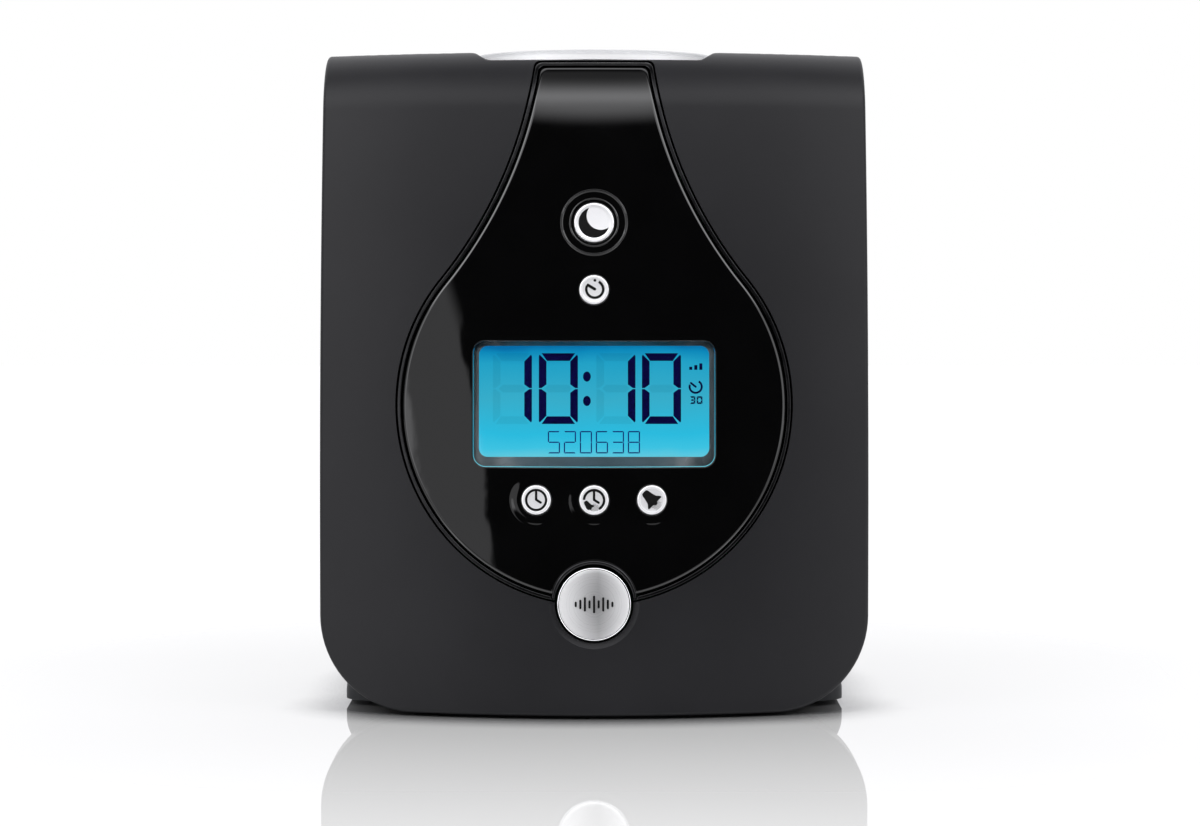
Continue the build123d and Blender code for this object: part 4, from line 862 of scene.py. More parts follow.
def build_hood():
    maker = Maker()
    skin_edge = hood_outline(EDGE_R)
    outline = [(x, run) for x, run, _ in skin_edge]
    loop_skin, on_bore = opening_loop(-SEAM_SOFT, SOUNDS_BORE_R + LEAD_WIDTH)
    loop_wall, _ = opening_loop(0.0, SOUNDS_BORE_R)
    recess_open = runs_on_top(dial_circle(RECESS_R + SEAM_SOFT))
    holes = [runs(loop_skin), recess_open]
    rings = fill_patch(maker, outline, holes, hood_place, 5.0, inner_points=dense_points(outline, holes))
    inner, back = build_hood_rim(maker, rings[0], skin_edge)

    # under side, the same outline one wall further in
    under = fill_patch(
        maker, [(x, run) for x, run, _ in hood_outline(WALL)],
        [runs(loop_wall), runs_on_top(dial_circle(RECESS_R + RECESS_WALL))],
        lambda x, run: hood_place(x, run, WALL), 12.0, flip=True
    )
    maker.bridge(inner, back, under[0], back, flip=True)

    # the drop opening's wall, with a chamfer where the large button cuts it
    normals = [skin_front(x, z)[1] for x, z in loop_skin]
    sideways = [-way for way in upright_ways(loop_wall)]
    depths = [LEAD_IN if bored else SEAM_SOFT for bored in on_bore]
    edge = maker.ring([skin_front(x, z, depth)[0] for (x, z), depth in zip(loop_wall, depths)])
    chamfer = [(n * LEAD_WIDTH + s * LEAD_IN).normalized() for n, s in zip(normals, sideways)]
    first = [c if bored else n for c, n, bored in zip(chamfer, normals, on_bore)]
    last = [c if bored else s for c, s, bored in zip(chamfer, sideways, on_bore)]
    maker.bridge(rings[1], first, edge, last)
    maker.bridge(edge, sideways, under[1], sideways)
    build_recess(maker, rings[2], recess_open, under[2])
    hood = maker.build("hood", MATERIALS["shell"])
    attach(hood, "housing")
    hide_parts("front_shell")


# ---------------------------------------------------------------- panel
RING_TURNS = [2 * pi * i / 120 for i in reversed(range(120))]


def face_frame(x, z):
    """A piece's own frame on the front, in millimetres: z points out of the skin, x to the right."""
    point, out = skin_front(x, z)
    across = UP.cross(out).normalized()
    return Matrix.Translation(point) @ Matrix((across, out.cross(across), out)).transposed().to_4x4()


def in_metres(place):
    return Matrix.Translation(place.translation * MM) @ place.to_3x3().to_4x4()


def surround(name):
    """Outer radius of the relief round a button, and the radius of its bore."""
    outer = MOON_BEADS[0][0] + MOON_BEADS[0][1] if name == "moon_button" else MOUND_R
    return outer, BUTTONS[name][2] + BORE_GAP


def surround_profile(name):
    """Radius, height and outward fall of the relief round a button, from outside in."""
    rows = []
    if name == "moon_button":
        for middle, half, height in MOON_BEADS:
            for i in range(0 if rows else 1, 11):
                t = 1 - i / 5
                fall = height * pi / (2 * half) * sin(pi * t)
                rows.append((middle + half * t, height * (1 + cos(pi * t)) / 2, fall))
    else:
        steepest = TIMER_SLOPE if name == "timer_button" else MOUND_SLOPE
        height, steps = 0.0, 20
        step = (MOUND_R - MOUND_TOP_R) / steps
        for i in range(1, steps + 1):
            r = MOUND_R - step * i
            reach = MOUND_R - MOUND_STEEP_R if r > MOUND_STEEP_R else MOUND_STEEP_R - MOUND_TOP_R
            slope = steepest * cos(pi / 2 * (r - MOUND_STEEP_R) / reach) ** 2
            height += slope * step
            rows.append((r, height, slope))
    bore = surround(name)[1]
    last = rows[-1][1]
    return rows + [(bore + 0.1, last, 0.0), (bore, last - 0.1, -1.2)]


def ring_on_front(name, radius):
    """A circle about a button's axis as (x, run), clockwise as seen from the front."""
    here = face_frame(*BUTTONS[name][:2])
    flat = [here @ Vector((radius * cos(t), radius * sin(t), 0.0)) for t in RING_TURNS]
    return runs((p.x, p.z) for p in flat)


def build_surround(maker, ring, name):
    """The relief round a button and its bore. Returns the bore's ring at the panel's back."""
    outer, bore = surround(name)
    turned = face_frame(*BUTTONS[name][:2]).to_3x3()
    out = turned @ UP
    radials = [turned @ Vector((cos(t), sin(t), 0.0)) for t in RING_TURNS]

    def placed_at(r, depth=-PANEL_PROUD):
        return [skin_run(x, run, depth) for x, run in ring_on_front(name, r)]

    sections = []
    for r, height, slope in surround_profile(name):
        placed = placed_at(r)
        bent = [(n + radial * slope).normalized() for (_, n), radial in zip(placed, radials)]
        sections.append(([p + out * height for p, _ in placed], bent))
    ring = maker.sweep(ring, [n for _, n in placed_at(outer)], sections)
    return maker.wall(ring, [-radial for radial in radials], [p for p, _ in placed_at(bore, PANEL_BACK)])


def build_panel():
    maker = Maker()
    edge = PANEL_EDGE_R
    notch_r = SOUNDS_BORE_R + NOTCH_GAP
    top = panel_loop(PANEL_INSET + edge, notch_r + edge)
    wall = backwards(window_loop(0.0))
    holes = [runs(backwards(window_loop(WINDOW_EDGE)))]
    holes += [ring_on_front(name, surround(name)[0]) for name in PANEL_HOLES]
    rings = fill_patch(maker, runs(top), holes, lambda x, run: skin_run(x, run, -PANEL_PROUD), 3.0)

    def at_back(loop):
        return [skin_run(x, run, PANEL_BACK)[0] for x, run in runs(loop)]

    side_loop = panel_loop(PANEL_INSET, notch_r)
    outwards = upright_ways(side_loop)
    sections = []
    for step in range(1, 7):
        turn = pi / 2 * step / 6
        shrink = edge * (1 - sin(turn))
        rim = panel_loop(PANEL_INSET + shrink, notch_r + shrink)
        placed = [skin_front(x, z, -PANEL_PROUD + edge * (1 - cos(turn))) for x, z in rim]
        turned = [n * cos(turn) + o * sin(turn) for (_, n), o in zip(placed, outwards)]
        sections.append(([p for p, _ in placed], turned))
    ring = maker.sweep(rings[0], [skin_front(x, z, -PANEL_PROUD)[1] for x, z in top], sections)
    low = maker.wall(ring, outwards, at_back(side_loop))

    inwards = upright_ways(wall)
    edge_ring = maker.ring([skin_front(x, z, WINDOW_EDGE - PANEL_PROUD)[0] for x, z in wall])
    maker.bridge(rings[1], [skin_front(x, z)[1] for x, z in wall], edge_ring, inwards, flip=True)
    window_back = maker.wall(edge_ring, inwards, at_back(wall))

    bores = [build_surround(maker, ring, name) for ring, name in zip(rings[2:], PANEL_HOLES)]
    back_holes = [runs(wall)] + [ring_on_front(name, surround(name)[1]) for name in PANEL_HOLES]
    back = fill_patch(
        maker, runs(side_loop), back_holes, lambda x, run: skin_run(x, run, PANEL_BACK), 12.0, flip=True
    )
    for front_ring, rear_ring in zip([low, window_back] + bores, back):
        maker.join(front_ring, rear_ring)
    panel = maker.build("panel", MATERIALS["gloss"])
    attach(panel, "housing")
    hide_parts("face_panel")


def build_bead():
    """A soft bead on the panel over the large button."""
    maker = Maker()
    here = face_frame(0.0, SOUNDS_Z)
    turned = here.to_3x3()
    steps = 72
    sections = 12
    start, end = radians(7), radians(173)
    inner = SOUNDS_BORE_R + 0.05
    rings = []
    normals = []
    for i in range(steps + 1):
        turn = start + (end - start) * i / steps
        swell = sin(pi * i / steps) ** 0.35
        outer = inner + 0.75 + 0.65 * swell
        rows = []
        for j in range(sections + 1):
            roll = pi * j / sections
            r = (inner + outer) / 2 + (outer - inner) / 2 * cos(roll)
            height = PANEL_PROUD - 0.5 + (0.9 * swell + 0.25) * sin(roll)
            rows.append((r, height, Vector((cos(turn) * cos(roll), sin(turn) * cos(roll), sin(roll)))))
        rows += [(r, -PANEL_BACK, DOWN) for r in (inner, outer)]
        rings.append(maker.ring([here @ Vector((r * cos(turn), r * sin(turn), z)) for r, z, _ in rows]))
        normals.append([turned @ way for _, _, way in rows])
    for i in range(steps):
        maker.bridge(rings[i], normals[i], rings[i + 1], normals[i + 1], flip=True)
    first = turned @ Vector((sin(start), -cos(start), 0))
    last = turned @ Vector((-sin(end), cos(end), 0))
    maker.face(backwards(rings[0]), [first] * len(rings[0]))
    maker.face(rings[-1], [last] * len(rings[-1]))
    bead = maker.build("bead", MATERIALS["trim"])
    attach(bead, "housing")


def build_trim():
    """A slim bead round the drop, open where the large button cuts it."""
    maker = Maker()
    half = TRIM_WIDTH / 2
    # across the bead from its middle, depth, and the normal's share outwards and up
    right = [(half, TRIM_DEPTH, 1, 0), (half, 0.05, 1, 0), (half - 0.1, 0.08 - TRIM_PROUD, 0.7, 0.7),
             (half - 0.3, -TRIM_PROUD, 0, 1)]
    profile = [(-across, depth, side, up) for across, depth, side, up in right]
    profile += [(across, depth, -side, up) for across, depth, side, up in reversed(right)]
    sections = []
    for across, depth, _, _ in profile:
        path, _ = drop_path(TRIM_GAP + half + across, SOUNDS_BORE_R + TRIM_CUT_GAP)
        sections.append([skin_front(x, z, depth) for x, z in path])
    rings = [maker.ring([p for p, _ in section]) for section in sections]
    crest = [p for p, _ in sections[3]]
    ways = []
    for before, after, (_, normal) in zip(crest[:1] + crest[:-1], crest[1:] + crest[-1:], sections[3]):
        ways.append((after - before).cross(normal).normalized())
    made = []
    for (_, _, side, up), section in zip(profile, sections):
        made.append([(w * side + n * up).normalized() for w, (_, n) in zip(ways, section)])
    for i in range(len(profile) - 1):
        maker.bridge(rings[i], made[i], rings[i + 1], made[i + 1], closed=False)
    under = [-n for _, n in sections[0]]
    maker.bridge(rings[-1], under, rings[0], under, closed=False)
    for end, beside, order in ((0, 1, -1), (-1, -2, 1)):
        corners = [ring[end] for ring in rings][::order]
        maker.face(corners, [(crest[end] - crest[beside]).normalized()] * len(corners))
    trim = maker.build("trim", MATERIALS["trim"])
    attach(trim, "housing")
    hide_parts("trim_ring")


# ---------------------------------------------------------------- flat shapes with a thickness
def washer(cx, cy, outer, inner):
    return circle(cx, cy, outer), [backwards(circle(cx, cy, inner))]


def curved_bar(cx, cy, radius, width, start, end, steps=40):
    """A stroke along an arc, from start to end in degrees."""
    turns = [radians(start + (end - start) * i / steps) for i in range(steps + 1)]
    outer = [(cx + (radius + width / 2) * cos(t), cy + (radius + width / 2) * sin(t)) for t in turns]
    inner = [(cx + (radius - width / 2) * cos(t), cy + (radius - width / 2) * sin(t)) for t in turns]
    return outer + backwards(inner), []


def bar(first, last, width):
    """A straight stroke with round ends."""
    turn = atan2(last[1] - first[1], last[0] - first[0])
    loop = []
    for end, start in ((last, turn - pi / 2), (first, turn + pi / 2)):
        loop += arc(end, width / 2, start, start + pi, 8)
        loop.append((end[0] - cos(start) * width / 2, end[1] - sin(start) * width / 2))
    return loop, []


def anticlockwise(loop):
    area = sum(x0 * y1 - x1 * y0 for (x0, y0), (x1, y1) in sides_of(loop))
    return loop if area > 0 else backwards(loop)


def slab(name, shapes, low, high, material, place):
    """Flat shapes (outline, holes) between two heights. place maps (x, y, height) to a point."""
    maker = Maker()
    up = (place(0, 0, 1) - place(0, 0, 0)).normalized()
    for outline, holes in shapes:
        outline = anticlockwise(outline)
        caps = []
        for height, facing in ((high, up), (low, -up)):
            caps.append(fill_patch(maker, outline, holes, lambda x, y: (place(x, y, height), facing), 1e6))
        for loop, upper, lower in zip([outline] + holes, *caps):
            ways = [(place(*way, 0) - place(0, 0, 0)).normalized() for way in side_ways(loop)]
            maker.bridge(upper, ways, lower, ways, flip=True)
    return maker.build(name, material)


# ---------------------------------------------------------------- display
DISPLAY_POINT, DISPLAY_OUT = skin_front(0.0, 93.3)
DISPLAY_UP = DISPLAY_OUT.cross(Vector((1, 0, 0)))
BRIGHT_WIDTH = 68.2       # lit area inside the bezel
BRIGHT_LOW = 77.6
BRIGHT_HIGH = 110.4
BRIGHT_R = 2.6
BEZEL_TOP = 1.9           # depths under the panel's skin
BEZEL_FOOT = 4.8
BEZEL_BACK = 5.2
LIT_DEPTHS = (5.28, 5.32)
UNLIT_DEPTHS = (5.33, 5.36)
DIGITS = {"lefts": (-30.0, -16.38, 0.69, 14.19), "low": 87.3, "width": 11.57, "height": 20.9,
          "stroke": 2.25, "gap": 0.16}
FINE_DIGITS = {"lefts": [-13.7 + 4.74 * i for i in range(6)], "low": 78.6, "width": 3.6, "height": 6.6,
               "stroke": 0.36, "gap": 0.05}
MINUTES = {"lefts": (28.3, 30.4), "low": 93.2, "width": 1.7, "height": 2.3, "stroke": 0.5, "gap": 0.02}
COLON_X = -2.13
COLON_HEIGHTS = (101.3, 94.1)
SEGMENTS_OF = {
    "0": "abcdef", "1": "bc", "2": "abged", "3": "abgcd", "5": "afgcd", "6": "afgedc", "8": "abcdefg",
}


def on_lcd(x, z, depth):
    """Point at (x, z) as seen from the front, on a plane at a depth behind the display's middle."""
    origin = DISPLAY_POINT - DISPLAY_OUT * depth
    return origin + Vector((x, 0, 0)) + DISPLAY_UP * ((z - origin.z) / DISPLAY_UP.z)


def digit_segments(left, low, width, height, stroke, gap):
    """Outlines of the seven segments of a digit, by their letters."""
    cut = 0.3 * stroke
    half = height / 2
    nib = half - stroke / 2
    upper = [(cut + gap, height), (width - cut - gap, height), (width - stroke - gap, height - stroke),
             (stroke + gap, height - stroke)]
    side = [(width, half + gap), (width, height - cut - gap), (width - cut * 0.4, height - gap - cut * 0.4),
            (width - stroke, height - stroke - gap), (width - stroke, half + stroke * 0.55),
            (width - 0.35 * stroke, half + gap)]
    middle = [(stroke * 0.75, half), (stroke * 1.3, height - nib), (width - stroke * 1.3, height - nib),
              (width - stroke * 0.75, half), (width - stroke * 1.3, nib), (stroke * 1.3, nib)]
    shapes = {
        "a": upper,
        "b": side,
        "c": [(x, height - y) for x, y in side],
        "d": [(x, height - y) for x, y in upper],
        "e": [(width - x, height - y) for x, y in side],
        "f": [(width - x, y) for x, y in side],
        "g": middle,
    }
    return {letter: [(left + x, low + y) for x, y in points] for letter, points in shapes.items()}


def figures(text, lefts, **sizes):
    """Outlines of the lit and the unlit segments of a row of digits."""
    lit, unlit = [], []
    for left, figure in zip(lefts, text):
        for letter, outline in digit_segments(left, **sizes).items():
            (lit if letter in SEGMENTS_OF[figure] else unlit).append(outline)
    return lit, unlit


def display_slab(name, outlines, depths, material):
    near, deep = depths
    shapes = [(loop, []) for loop in outlines]
    made = slab(name, shapes, -deep, -near, MATERIALS[material], lambda x, z, h: on_lcd(x, z, -h))
    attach(made, "housing")


def build_bezel():
    """Slopes from the window's wall back to the edge of the lit area."""
    maker = Maker()
    outer = window_loop(-0.1)
    inner = upright_rectangle(BRIGHT_LOW, BRIGHT_HIGH, BRIGHT_WIDTH, BRIGHT_R)
    loops = []
    for step in range(9):
        t = step / 8
        depth = BEZEL_TOP + (BEZEL_FOOT - BEZEL_TOP) * t
        flat = [(xo + (xi - xo) * t, zo + (zi - zo) * t) for (xo, zo), (xi, zi) in zip(outer, inner)]
        loops.append([skin_front(x, z, depth)[0] * (1 - t) + on_lcd(x, z, depth) * t for x, z in flat])
    loops += [[on_lcd(x, z, BEZEL_BACK) for x, z in loop] for loop in (inner, outer)]
    rings = [maker.ring(loop) for loop in loops]
    for (a, b), (first, second) in zip(sides_of(loops), sides_of(rings)):
        chords = [after - before for before, after in zip(a[-1:] + a[:-1], a[1:] + a[:1])]
        normals = [chord.cross(q - p).normalized() for chord, p, q in zip(chords, a, b)]
        maker.bridge(first, normals, second, normals)
    bezel = maker.build("display_bezel", MATERIALS["bevel"])
    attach(bezel, "housing")


def build_display():
    build_bezel()
    lit, unlit = figures("1010", **DIGITS)
    for z in COLON_HEIGHTS:
        lit.append([(COLON_X + 1.15 * x, z + 1.5 * y) for x, y in circle(0, 0, 1)])
    # signal bars, timer ring and its minutes at the right
    for x, height in ((28.2, 0.9), (29.7, 1.4), (31.2, 1.9)):
        lit.append([(x, 103.3), (x + 0.9, 103.3), (x + 0.9, 103.3 + height), (x, 103.3 + height)])
    lit.append(curved_bar(30.1, 98.3, 1.8, 0.6, -200, 60)[0])
    lit.append(bar((30.1, 98.3), (28.7, 99.4), 0.6)[0])
    lit += figures("30", **MINUTES)[0]
    display_slab("lcd_segments", lit, LIT_DEPTHS, "segment")
    display_slab("lcd_fine_segments", figures("520638", **FINE_DIGITS)[0], LIT_DEPTHS, "fine_segment")
    display_slab("lcd_unlit_segments", unlit, UNLIT_DEPTHS, "ghost")


# ---------------------------------------------------------------- icons on the buttons
def crescent():
    """A dark moon, open to the upper right."""
    moon_r, bite_r, reach = 4.6, 4.2, 2.8
    along = (moon_r ** 2 - bite_r ** 2 + reach ** 2) / (2 * reach)
    turn = acos(along / moon_r)
    bite_turn = acos((along - reach) / bite_r)
    aim = pi / 4
    bite_at = (reach * cos(aim), reach * sin(aim))
    outer = arc((0, 0), moon_r, aim + turn, aim + 2 * pi - turn, 60)
    return outer + arc(bite_at, bite_r, aim - bite_turn, aim + bite_turn - 2 * pi, 60), []


def bell(cx, cy, size, tilt):
    """A bell's outline, tilted by an angle in degrees."""
    half = [(0.0, 1.0), (0.28, 0.95), (0.42, 0.7), (0.5, 0.2), (0.62, -0.25), (0.95, -0.62), (0.95, -0.78),
            (0.25, -0.78), (0.2, -0.95), (0.0, -1.0)]
    loop = [(-x, y) for x, y in half] + backwards(half)[1:-1]
    along, aside = size * cos(radians(tilt)), size * sin(radians(tilt))
    return [(cx + x * along - y * aside, cy + x * aside + y * along) for x, y in loop], []


def dots(cx, cy, radius, reach):
    """An icon's shade: spots in a staggered grid, inside its own circle and near the button's middle."""
    pitch, spot = 0.42, 0.13
    made = []
    rows = int(radius / pitch) + 1
    for j in range(-rows, rows + 1):
        for i in range(-rows, rows + 1):
            x = cx + (i + 0.5 * (j % 2)) * pitch
            y = cy + j * pitch * 0.87
            if hypot(x - cx, y - cy) < radius and hypot(x, y) < reach:
                made.append((circle(x, y, spot, 8), []))
    return made


def icons_of(name):
    """Dark shapes and shaded shapes on a button's face, in its own axes."""
    if name == "moon_button":
        return [crescent()], []
    if name == "timer_button":
        ring = curved_bar(0.2, 0.1, 2.5, 0.75, -205, 62)
        return [ring, bar((0.2, 0.15), (-1.8, 1.35), 0.85), (circle(0.25, 2.75, 0.42, 16), [])], []
    hands = [bar((0.0, 0.1), (0.0, 2.4), 0.7), bar((0.0, 0.1), (1.35, -0.75), 0.7)]
    if name == "clock_button":
        return [washer(0, 0, 3.3, 2.6)] + hands, []
    if name == "alarm_set_button":
        ring = curved_bar(0, 0, 2.95, 0.75, -62, 178)
        return [ring, bell(-1.75, -1.55, 1.55, 35)] + hands, dots(0.1, -2.3, 1.15, 3.4)
    if name == "alarm_button":
        return [bell(-0.55, 0.55, 2.75, 45)], dots(1.35, -1.5, 1.5, 3.5)
    wave = enumerate((1.0, 2.2, 3.6, 1.8, 4.6, 1.8, 3.6, 2.2, 1.0))
    return [bar((1.35 * (i - 4), -height / 2), (1.35 * (i - 4), height / 2), 0.62) for i, height in wave], []


def build_icons(name):
    dark, shaded = icons_of(name)
    for kind, shapes, top, material in (("icon", dark, 0.01, "ink"), ("shade", shaded, 0.015, "hatch")):
        if shapes:
            high = BUTTON_TOP - top
            made = slab(name + "_" + kind, shapes, high - 0.25, high, MATERIALS[material],
                        lambda x, y, height: Vector((x, y, height)))
            made.matrix_world = in_metres(face_frame(*BUTTONS[name][:2]))
            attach(made, name)


# ---------------------------------------------------------------- turned pieces
def lathe(name, profile, rim_steps, rim, face):
    """Turns a profile of (radius, height) about z, from the middle of its foot to the middle of its face.

    Its first steps, as many as rim_steps, have the rim's material."""
    segments = 128
    points = [Vector((0, 0, profile[0][1]))]
    for radius, height in profile[1:-1]:
        points += [Vector((x, y, height)) for x, y in circle(0, 0, radius, segments)]
    points.append(Vector((0, 0, profile[-1][1])))
    last = len(points) - 1
    faces = []
    for i in range(segments):
        j = (i + 1) % segments
        faces.append((0, 1 + j, 1 + i))
        for start in range(1, last - segments, segments):
            faces.append((start + i, start + j, start + segments + j, start + segments + i))
        faces.append((last - segments + i, last - segments + j, last))
    owners = ([0] * rim_steps + [1] * (len(profile) - 1 - rim_steps)) * segments
    mesh = smooth_mesh(name, points, faces, [rim, face], owners)
    mesh.set_sharp_from_angle(angle=radians(30.0))
    return add_object(name, mesh)


def capped(radius, edge, low, high):
    """Profile of a disc from the middle of its foot, round its upper edge."""
    turns = [pi / 2 * i / 6 for i in range(7)]
    rounded = [(radius + edge * (cos(t) - 1), high + edge * (sin(t) - 1)) for t in turns]
    return [(0.0, low), (radius, low)] + rounded


def sunk(radius, high, depth, rows):
    """Profile of a dished face, inwards from its edge."""
    return [(radius * (1 - i / rows), high - depth * (1 - (1 - i / rows) ** 2)) for i in range(rows + 1)]


def build_button(name):
    """A cap with a bright rim round a slightly sunk face."""
    x, z, radius = BUTTONS[name]
    rim, sink, finishes = 0.95, 0.06, ("bright", "silver")
    if name == "sounds_button":
        rim, sink, finishes = 0.55, 0.175, ("polished", "spun")
    if name == "moon_button":
        finishes = ("bright", "bright")
    profile = capped(radius, 0.4, -4.0, BUTTON_TOP) + [(radius - rim, BUTTON_TOP)]
    edge_steps = len(profile) - 1
    profile += sunk(radius - rim - 0.12, BUTTON_TOP - 0.05, sink, 10)
    button = lathe(name + "_cap", profile, edge_steps, *(MATERIALS[finish] for finish in finishes))
    button.matrix_world = in_metres(face_frame(x, z))
    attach(button, name)
    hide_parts(name)


def crown_place(x, y):
    """Point and normal of the dial's crowned top."""
    crown = (DIAL_R ** 2 + DIAL_CROWN ** 2) / (2 * DIAL_CROWN)
    reach = sqrt(crown ** 2 - x * x - y * y)
    return Vector((x, y, DIAL_RIM_TOP + DIAL_CROWN - crown + reach)), Vector((x, y, reach)) / crown


def build_dimple(maker, ring):
    bowl = (DIMPLE_R ** 2 + DIMPLE_DEPTH ** 2) / (2 * DIMPLE_DEPTH)
    sections = []
    for i in range(9):
        r = DIMPLE_R * (1 - i / 9)
        drop = sqrt(bowl ** 2 - r ** 2) - sqrt(bowl ** 2 - DIMPLE_R ** 2)
        points = []
        normals = []
        for x, y in backwards(circle(0, 0, r, 72)):
            base, normal = crown_place(x, y - DIMPLE_AT)
            points.append(base + DOWN * drop)
            normals.append((normal - Vector((x, y, 0)) / bowl).normalized())
        sections.append((points, normals))
    ring = maker.sweep(ring, sections[0][1], sections[1:])
    maker.face(backwards(ring), backwards(sections[-1][1]))


def build_dial():
    """The dial: a crowned disc with a finger dimple, a rolled rim and a cup for the snooze button."""
    maker = Maker()
    rim_r = DIAL_R - DIAL_EDGE_R
    outline = circle(0, 0, rim_r, 192)
    cup = backwards(circle(0, 0, CUP_R + CUP_EDGE_R, 96))
    dimple = backwards(circle(0, -DIMPLE_AT, DIMPLE_R, 72))
    rings = fill_patch(maker, outline, [cup, dimple], crown_place, 3.5)
    build_dimple(maker, rings[2])

    def level(loop, z):
        return [Vector((x, y, z)) for x, y in loop]

    maker.slot = 1
    radials = [way.normalized() for way in level(outline, 0)]
    rim_top = crown_place(rim_r, 0)[0].z
    sections = []
    for i in range(1, 9):
        turn = pi / 2 * i / 8
        reach = circle(0, 0, rim_r + DIAL_EDGE_R * sin(turn), 192)
        points = level(reach, rim_top - DIAL_EDGE_R * (1 - cos(turn)))
        sections.append((points, [radial * sin(turn) + UP * cos(turn) for radial in radials]))
    ring = maker.sweep(rings[0], [crown_place(x, y)[1] for x, y in outline], sections)
    down = [DOWN] * len(outline)
    steps = ((DIAL_R, DIAL_UNDER, radials), (HUB_R, DIAL_UNDER, down), (HUB_R, CUP_FLOOR - 1.5, radials))
    for r, z, ways in steps:
        ring = maker.wall(ring, ways, level(circle(0, 0, r, 192), z))
    maker.face(backwards(ring), down)

    inward = [-way.normalized() for way in level(cup, 0)]
    cup_wall = backwards(circle(0, 0, CUP_R, 96))
    lip = maker.ring(level(cup_wall, crown_place(CUP_R, 0)[0].z - CUP_EDGE_R))
    maker.bridge(rings[1], [(UP + way) / 2 for way in inward], lip, inward, flip=True)
    floor = maker.wall(lip, inward, level(cup_wall, CUP_FLOOR))
    maker.face(backwards(floor), [UP] * len(cup))
    dial = maker.build("dial", MATERIALS["spun_dial"], MATERIALS["rim"])
    dial.matrix_world = Matrix.Translation(Vector((0, DIAL_Y, 0)) * MM)
    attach(dial, "dial")
    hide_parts("volume_dial")


def build_snooze():
    profile = capped(SNOOZE_R, SNOOZE_EDGE_R, SNOOZE_TOP - 4.0, SNOOZE_TOP)
    edge_steps = len(profile) - 1
    profile += sunk(SNOOZE_R - SNOOZE_EDGE_R, SNOOZE_TOP, 0.35, 8)[1:]
    snooze = lathe("snooze", profile, edge_steps, MATERIALS["polished"], MATERIALS["spun_dial"])
    snooze.matrix_world = Matrix.Translation(Vector((0, DIAL_Y, 0)) * MM)
    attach(snooze, "snooze")
    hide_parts("snooze_button")


# ---------------------------------------------------------------- CAD nodes that stay
FINISHES = {
    "board": "control_board top_board jack_board",
    "cabinet": "closing_frame rear_cabinet back_cover base_plinth battery_door",
    "cone": "speaker_cone speaker_dust_cap",
    "glass": "display_window",
    "grille": "speaker_grille speaker_basket",
    "inner": "lcd_holder lcd_light_guide tact_switches dial_encoder snooze_switch battery_cells",
    "jack": "audio_jack power_jack",
    "lcd": "lcd_glass",
    "rubber": "speaker_gasket speaker_surround feet",
    "screw": "board_screws dial_clip frame_screws cabinet_screws cover_screws speaker_magnet speaker_screws "
             "base_screws battery_contacts",
}
for finish, cad_names in FINISHES.items():
    for cad_name in cad_names.split():
        for held_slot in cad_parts[cad_name].material_slots:
            held_slot.material = MATERIALS[finish]

build_hood()
build_panel()
build_trim()
build_bead()
build_display()
for button_name in BUTTONS:
    build_button(button_name)
    build_icons(button_name)
build_dial()
build_snooze()


# ---------------------------------------------------------------- stage, light and camera
PHOTO_W = 1200            # of the photo and its camera, in pixels
FOCAL_PX = 3067.0
CAMERA_AT = Vector((1.75, -963.5, 135.4))
CAMERA_PITCH = 2.83
FLOOR_HALF_W = 2.5        # in metres, as is all that follows
FLOOR_FRONT = -0.238
FLOOR_BACK = 3.0
FLOOR_SHINE = 0.58        # share of mirror image close to the object
FLOOR_FAR_SHINE = 0.03
FLOOR_FADE = 0.37         # distance over which it fades
FOOTPRINT = (0.07, 0.065, 0.0)
FLOOR_GLOW = 0.85
# painted shadow: within this reach of the object the floor's emission fades out
CONTACT_SHADE = 0.028     # reach of the shade round the base
LAMP_AT = (0.0, 0.35, 1.2)
LAMP_SIZE = 1.4
LAMP_WATTS = 9.0


def build_camera():
    camera = bpy.data.cameras.new("camera")
    camera.sensor_width = 36.0
    camera.lens = FOCAL_PX / PHOTO_W * camera.sensor_width
    camera.clip_start = 0.01
    made = add_object("camera", camera)
    made.location = CAMERA_AT * MM
    made.rotation_euler = (radians(90 - CAMERA_PITCH), 0.0, 0.0)
    bpy.context.scene.camera = made


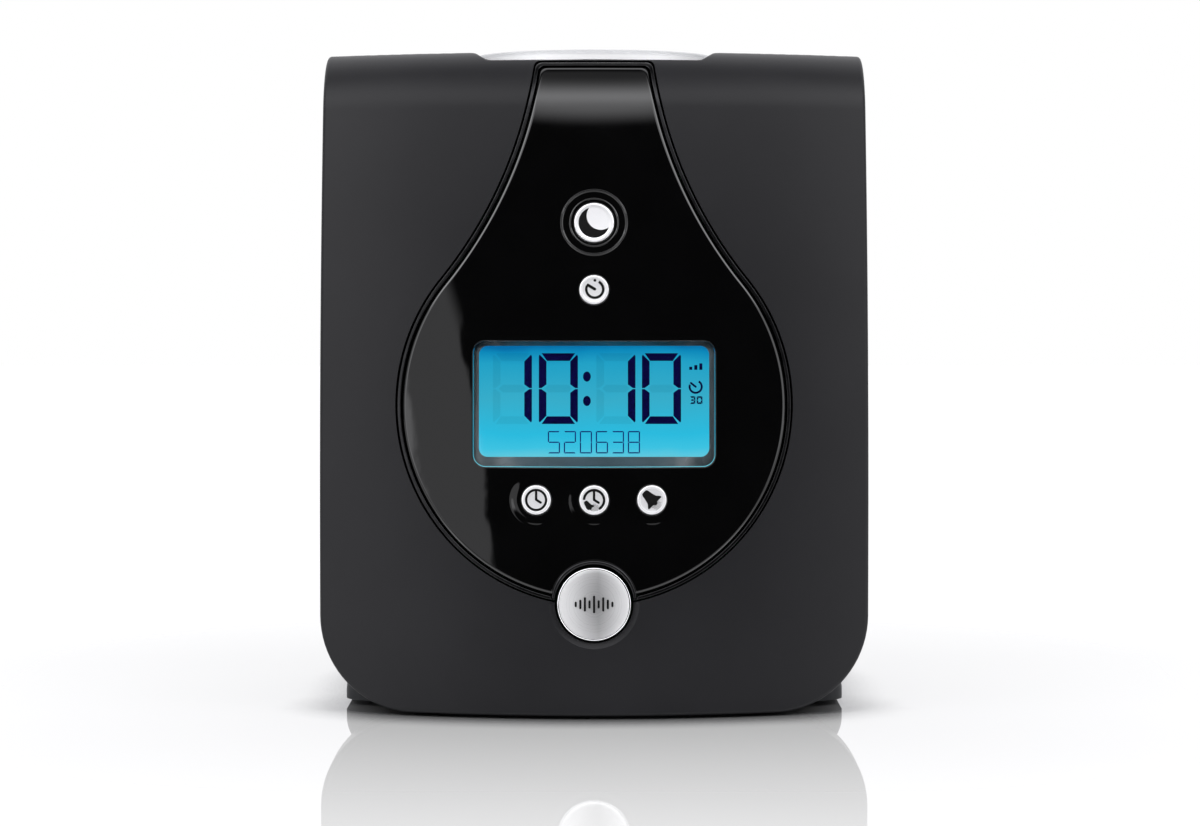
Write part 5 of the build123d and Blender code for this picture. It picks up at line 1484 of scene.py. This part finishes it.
def build_floor():
    """A glossy white table top. Its mirror image of the object fades with the distance from it, and its
    emission fades out close to the object: a painted shadow.
    """
    mesh = bpy.data.meshes.new("floor")
    near, far = (-FLOOR_HALF_W, FLOOR_HALF_W), (FLOOR_HALF_W, -FLOOR_HALF_W)
    corners = [(x, FLOOR_FRONT, 0) for x in near] + [(x, FLOOR_BACK, 0) for x in far]
    mesh.from_pydata(corners, [], [(0, 1, 2, 3)])
    floor = add_object("floor", mesh)
    material = bpy.data.materials.new("floor")
    material.use_nodes = True
    tree = material.node_tree
    tree.nodes.clear()
    folded = vector_math(tree, "ABSOLUTE", place_of(tree))["Vector"]
    past = vector_math(tree, "SUBTRACT", folded, FOOTPRINT)["Vector"]
    outside = vector_math(tree, "MAXIMUM", past, (0.0, 0.0, 0.0))["Vector"]
    sway = math_node(tree, "MULTIPLY_ADD", noise_of(tree, 8.0, 2.0), 0.01, -0.005)
    distance = total_of(tree, vector_math(tree, "LENGTH", outside)["Value"], sway)
    shine = between(tree, distance, FLOOR_SHINE, FLOOR_FAR_SHINE, 0.0, FLOOR_FADE)

    mirror = node(tree, "ShaderNodeBsdfGlossy", {"Roughness": 0.02}).outputs["BSDF"]
    base = node(tree, "ShaderNodeBsdfDiffuse", {"Color": (*grey(0.18), 1.0)}).outputs["BSDF"]
    # painted shadow: ambient occlusion dims the floor's emission where the object is close
    open_sky_for_painted_shadow = node(tree, "ShaderNodeAmbientOcclusion", {"Distance": CONTACT_SHADE}, samples=8).outputs["AO"]
    strength = rise(tree, open_sky_for_painted_shadow, 0.5, 0.9, 0.0, FLOOR_GLOW)
    floor_emission_with_painted_shadow = node(tree, "ShaderNodeEmission", {"Strength": strength}).outputs["Emission"]
    body = node(tree, "ShaderNodeAddShader", {0: base, 1: floor_emission_with_painted_shadow}).outputs["Shader"]
    unseen = node(tree, "ShaderNodeBsdfDiffuse", {"Color": (*grey(0.5), 1.0)}).outputs["BSDF"]
    ray = node(tree, "ShaderNodeLightPath").outputs
    seen = largest(tree, ray["Is Camera Ray"], ray["Is Glossy Ray"], ray["Is Transmission Ray"])
    surface = mix_shaders(tree, seen, unseen, mix_shaders(tree, shine, body, mirror))
    node(tree, "ShaderNodeOutputMaterial", {"Surface": surface})
    mesh.materials.append(material)


def build_world():
    """A white room behind the object and a dark one before it, with large soft boxes.

    The boxes are drawn by direction: each factor is an edge of the box."""
    world = bpy.data.worlds.new("studio")
    bpy.context.scene.world = world
    world.use_nodes = True
    tree = world.node_tree
    tree.nodes.clear()
    axes = axes_of(tree, place_of(tree, "Generated"))
    right, back, up = (axes[axis] for axis in "XYZ")
    left = product(tree, right, -1.0)
    front = rise(tree, back, 0.05, -0.1)
    room = rise(tree, back, 0.15, 0.45)

    # overhead: a crisp lower edge, soft towards the zenith
    edge = total_of(tree, rise(tree, up, 0.433, 0.458, 0.0, 0.66), rise(tree, up, 0.45, 0.66, 0.0, 0.34))
    over = product(tree, edge, rise(tree, up, 1.0, 0.66, 0.08, 1.0), front, 3.8)

    # left: leans over, with a frayed inner edge
    fray = product(tree, noise_of(tree, 9.0, 4.0, 0.6, "Generated"), 0.14)
    slant = total_of(tree, product(tree, up, -0.4), left, fray)
    crown = total_of(tree, up, product(tree, left, -1.1))
    side = product(
        tree, rise(tree, slant, 0.405, 0.425), rise(tree, left, 0.98, 0.80), rise(tree, up, -0.16, -0.08),
        rise(tree, crown, -0.24, -0.30), rise(tree, slant, 0.59, 0.62, 0.95, 2.3), front
    )

    # far out on both sides
    ends = total_of(tree, rise(tree, right, 0.62, 0.78, 0.0, 2.2), rise(tree, left, 0.68, 0.78, 0.0, 0.9))
    far = product(tree, ends, rise(tree, up, -0.25, -0.05), front)

    strength = total_of(tree, room, over, side, far, 0.02)
    studio = node(tree, "ShaderNodeBackground", {"Color": (0.975, 0.975, 1.0, 1.0), "Strength": strength})
    white = node(tree, "ShaderNodeBackground", {"Color": (1.0, 1.0, 1.0, 1.0), "Strength": 1.0})
    ray = node(tree, "ShaderNodeLightPath").outputs
    seen = largest(tree, ray["Is Camera Ray"], ray["Is Transmission Ray"])
    surface = mix_shaders(tree, seen, studio.outputs["Background"], white.outputs["Background"])
    node(tree, "ShaderNodeOutputWorld", {"Surface": surface})


def build_lamp():
    """A large lamp overhead, for the shadow. The glossy panel doesn't mirror it."""
    light = bpy.data.lights.new("overhead", "AREA")
    light.size = LAMP_SIZE
    light.energy = LAMP_WATTS
    made = add_object("overhead", light)
    made.location = LAMP_AT
    made.rotation_euler = (-made.location).to_track_quat("-Z", "Y").to_euler()
    made.visible_glossy = False


build_camera()
build_floor()
build_world()
build_lamp()

bpy.context.scene.view_settings.view_transform = "Standard"
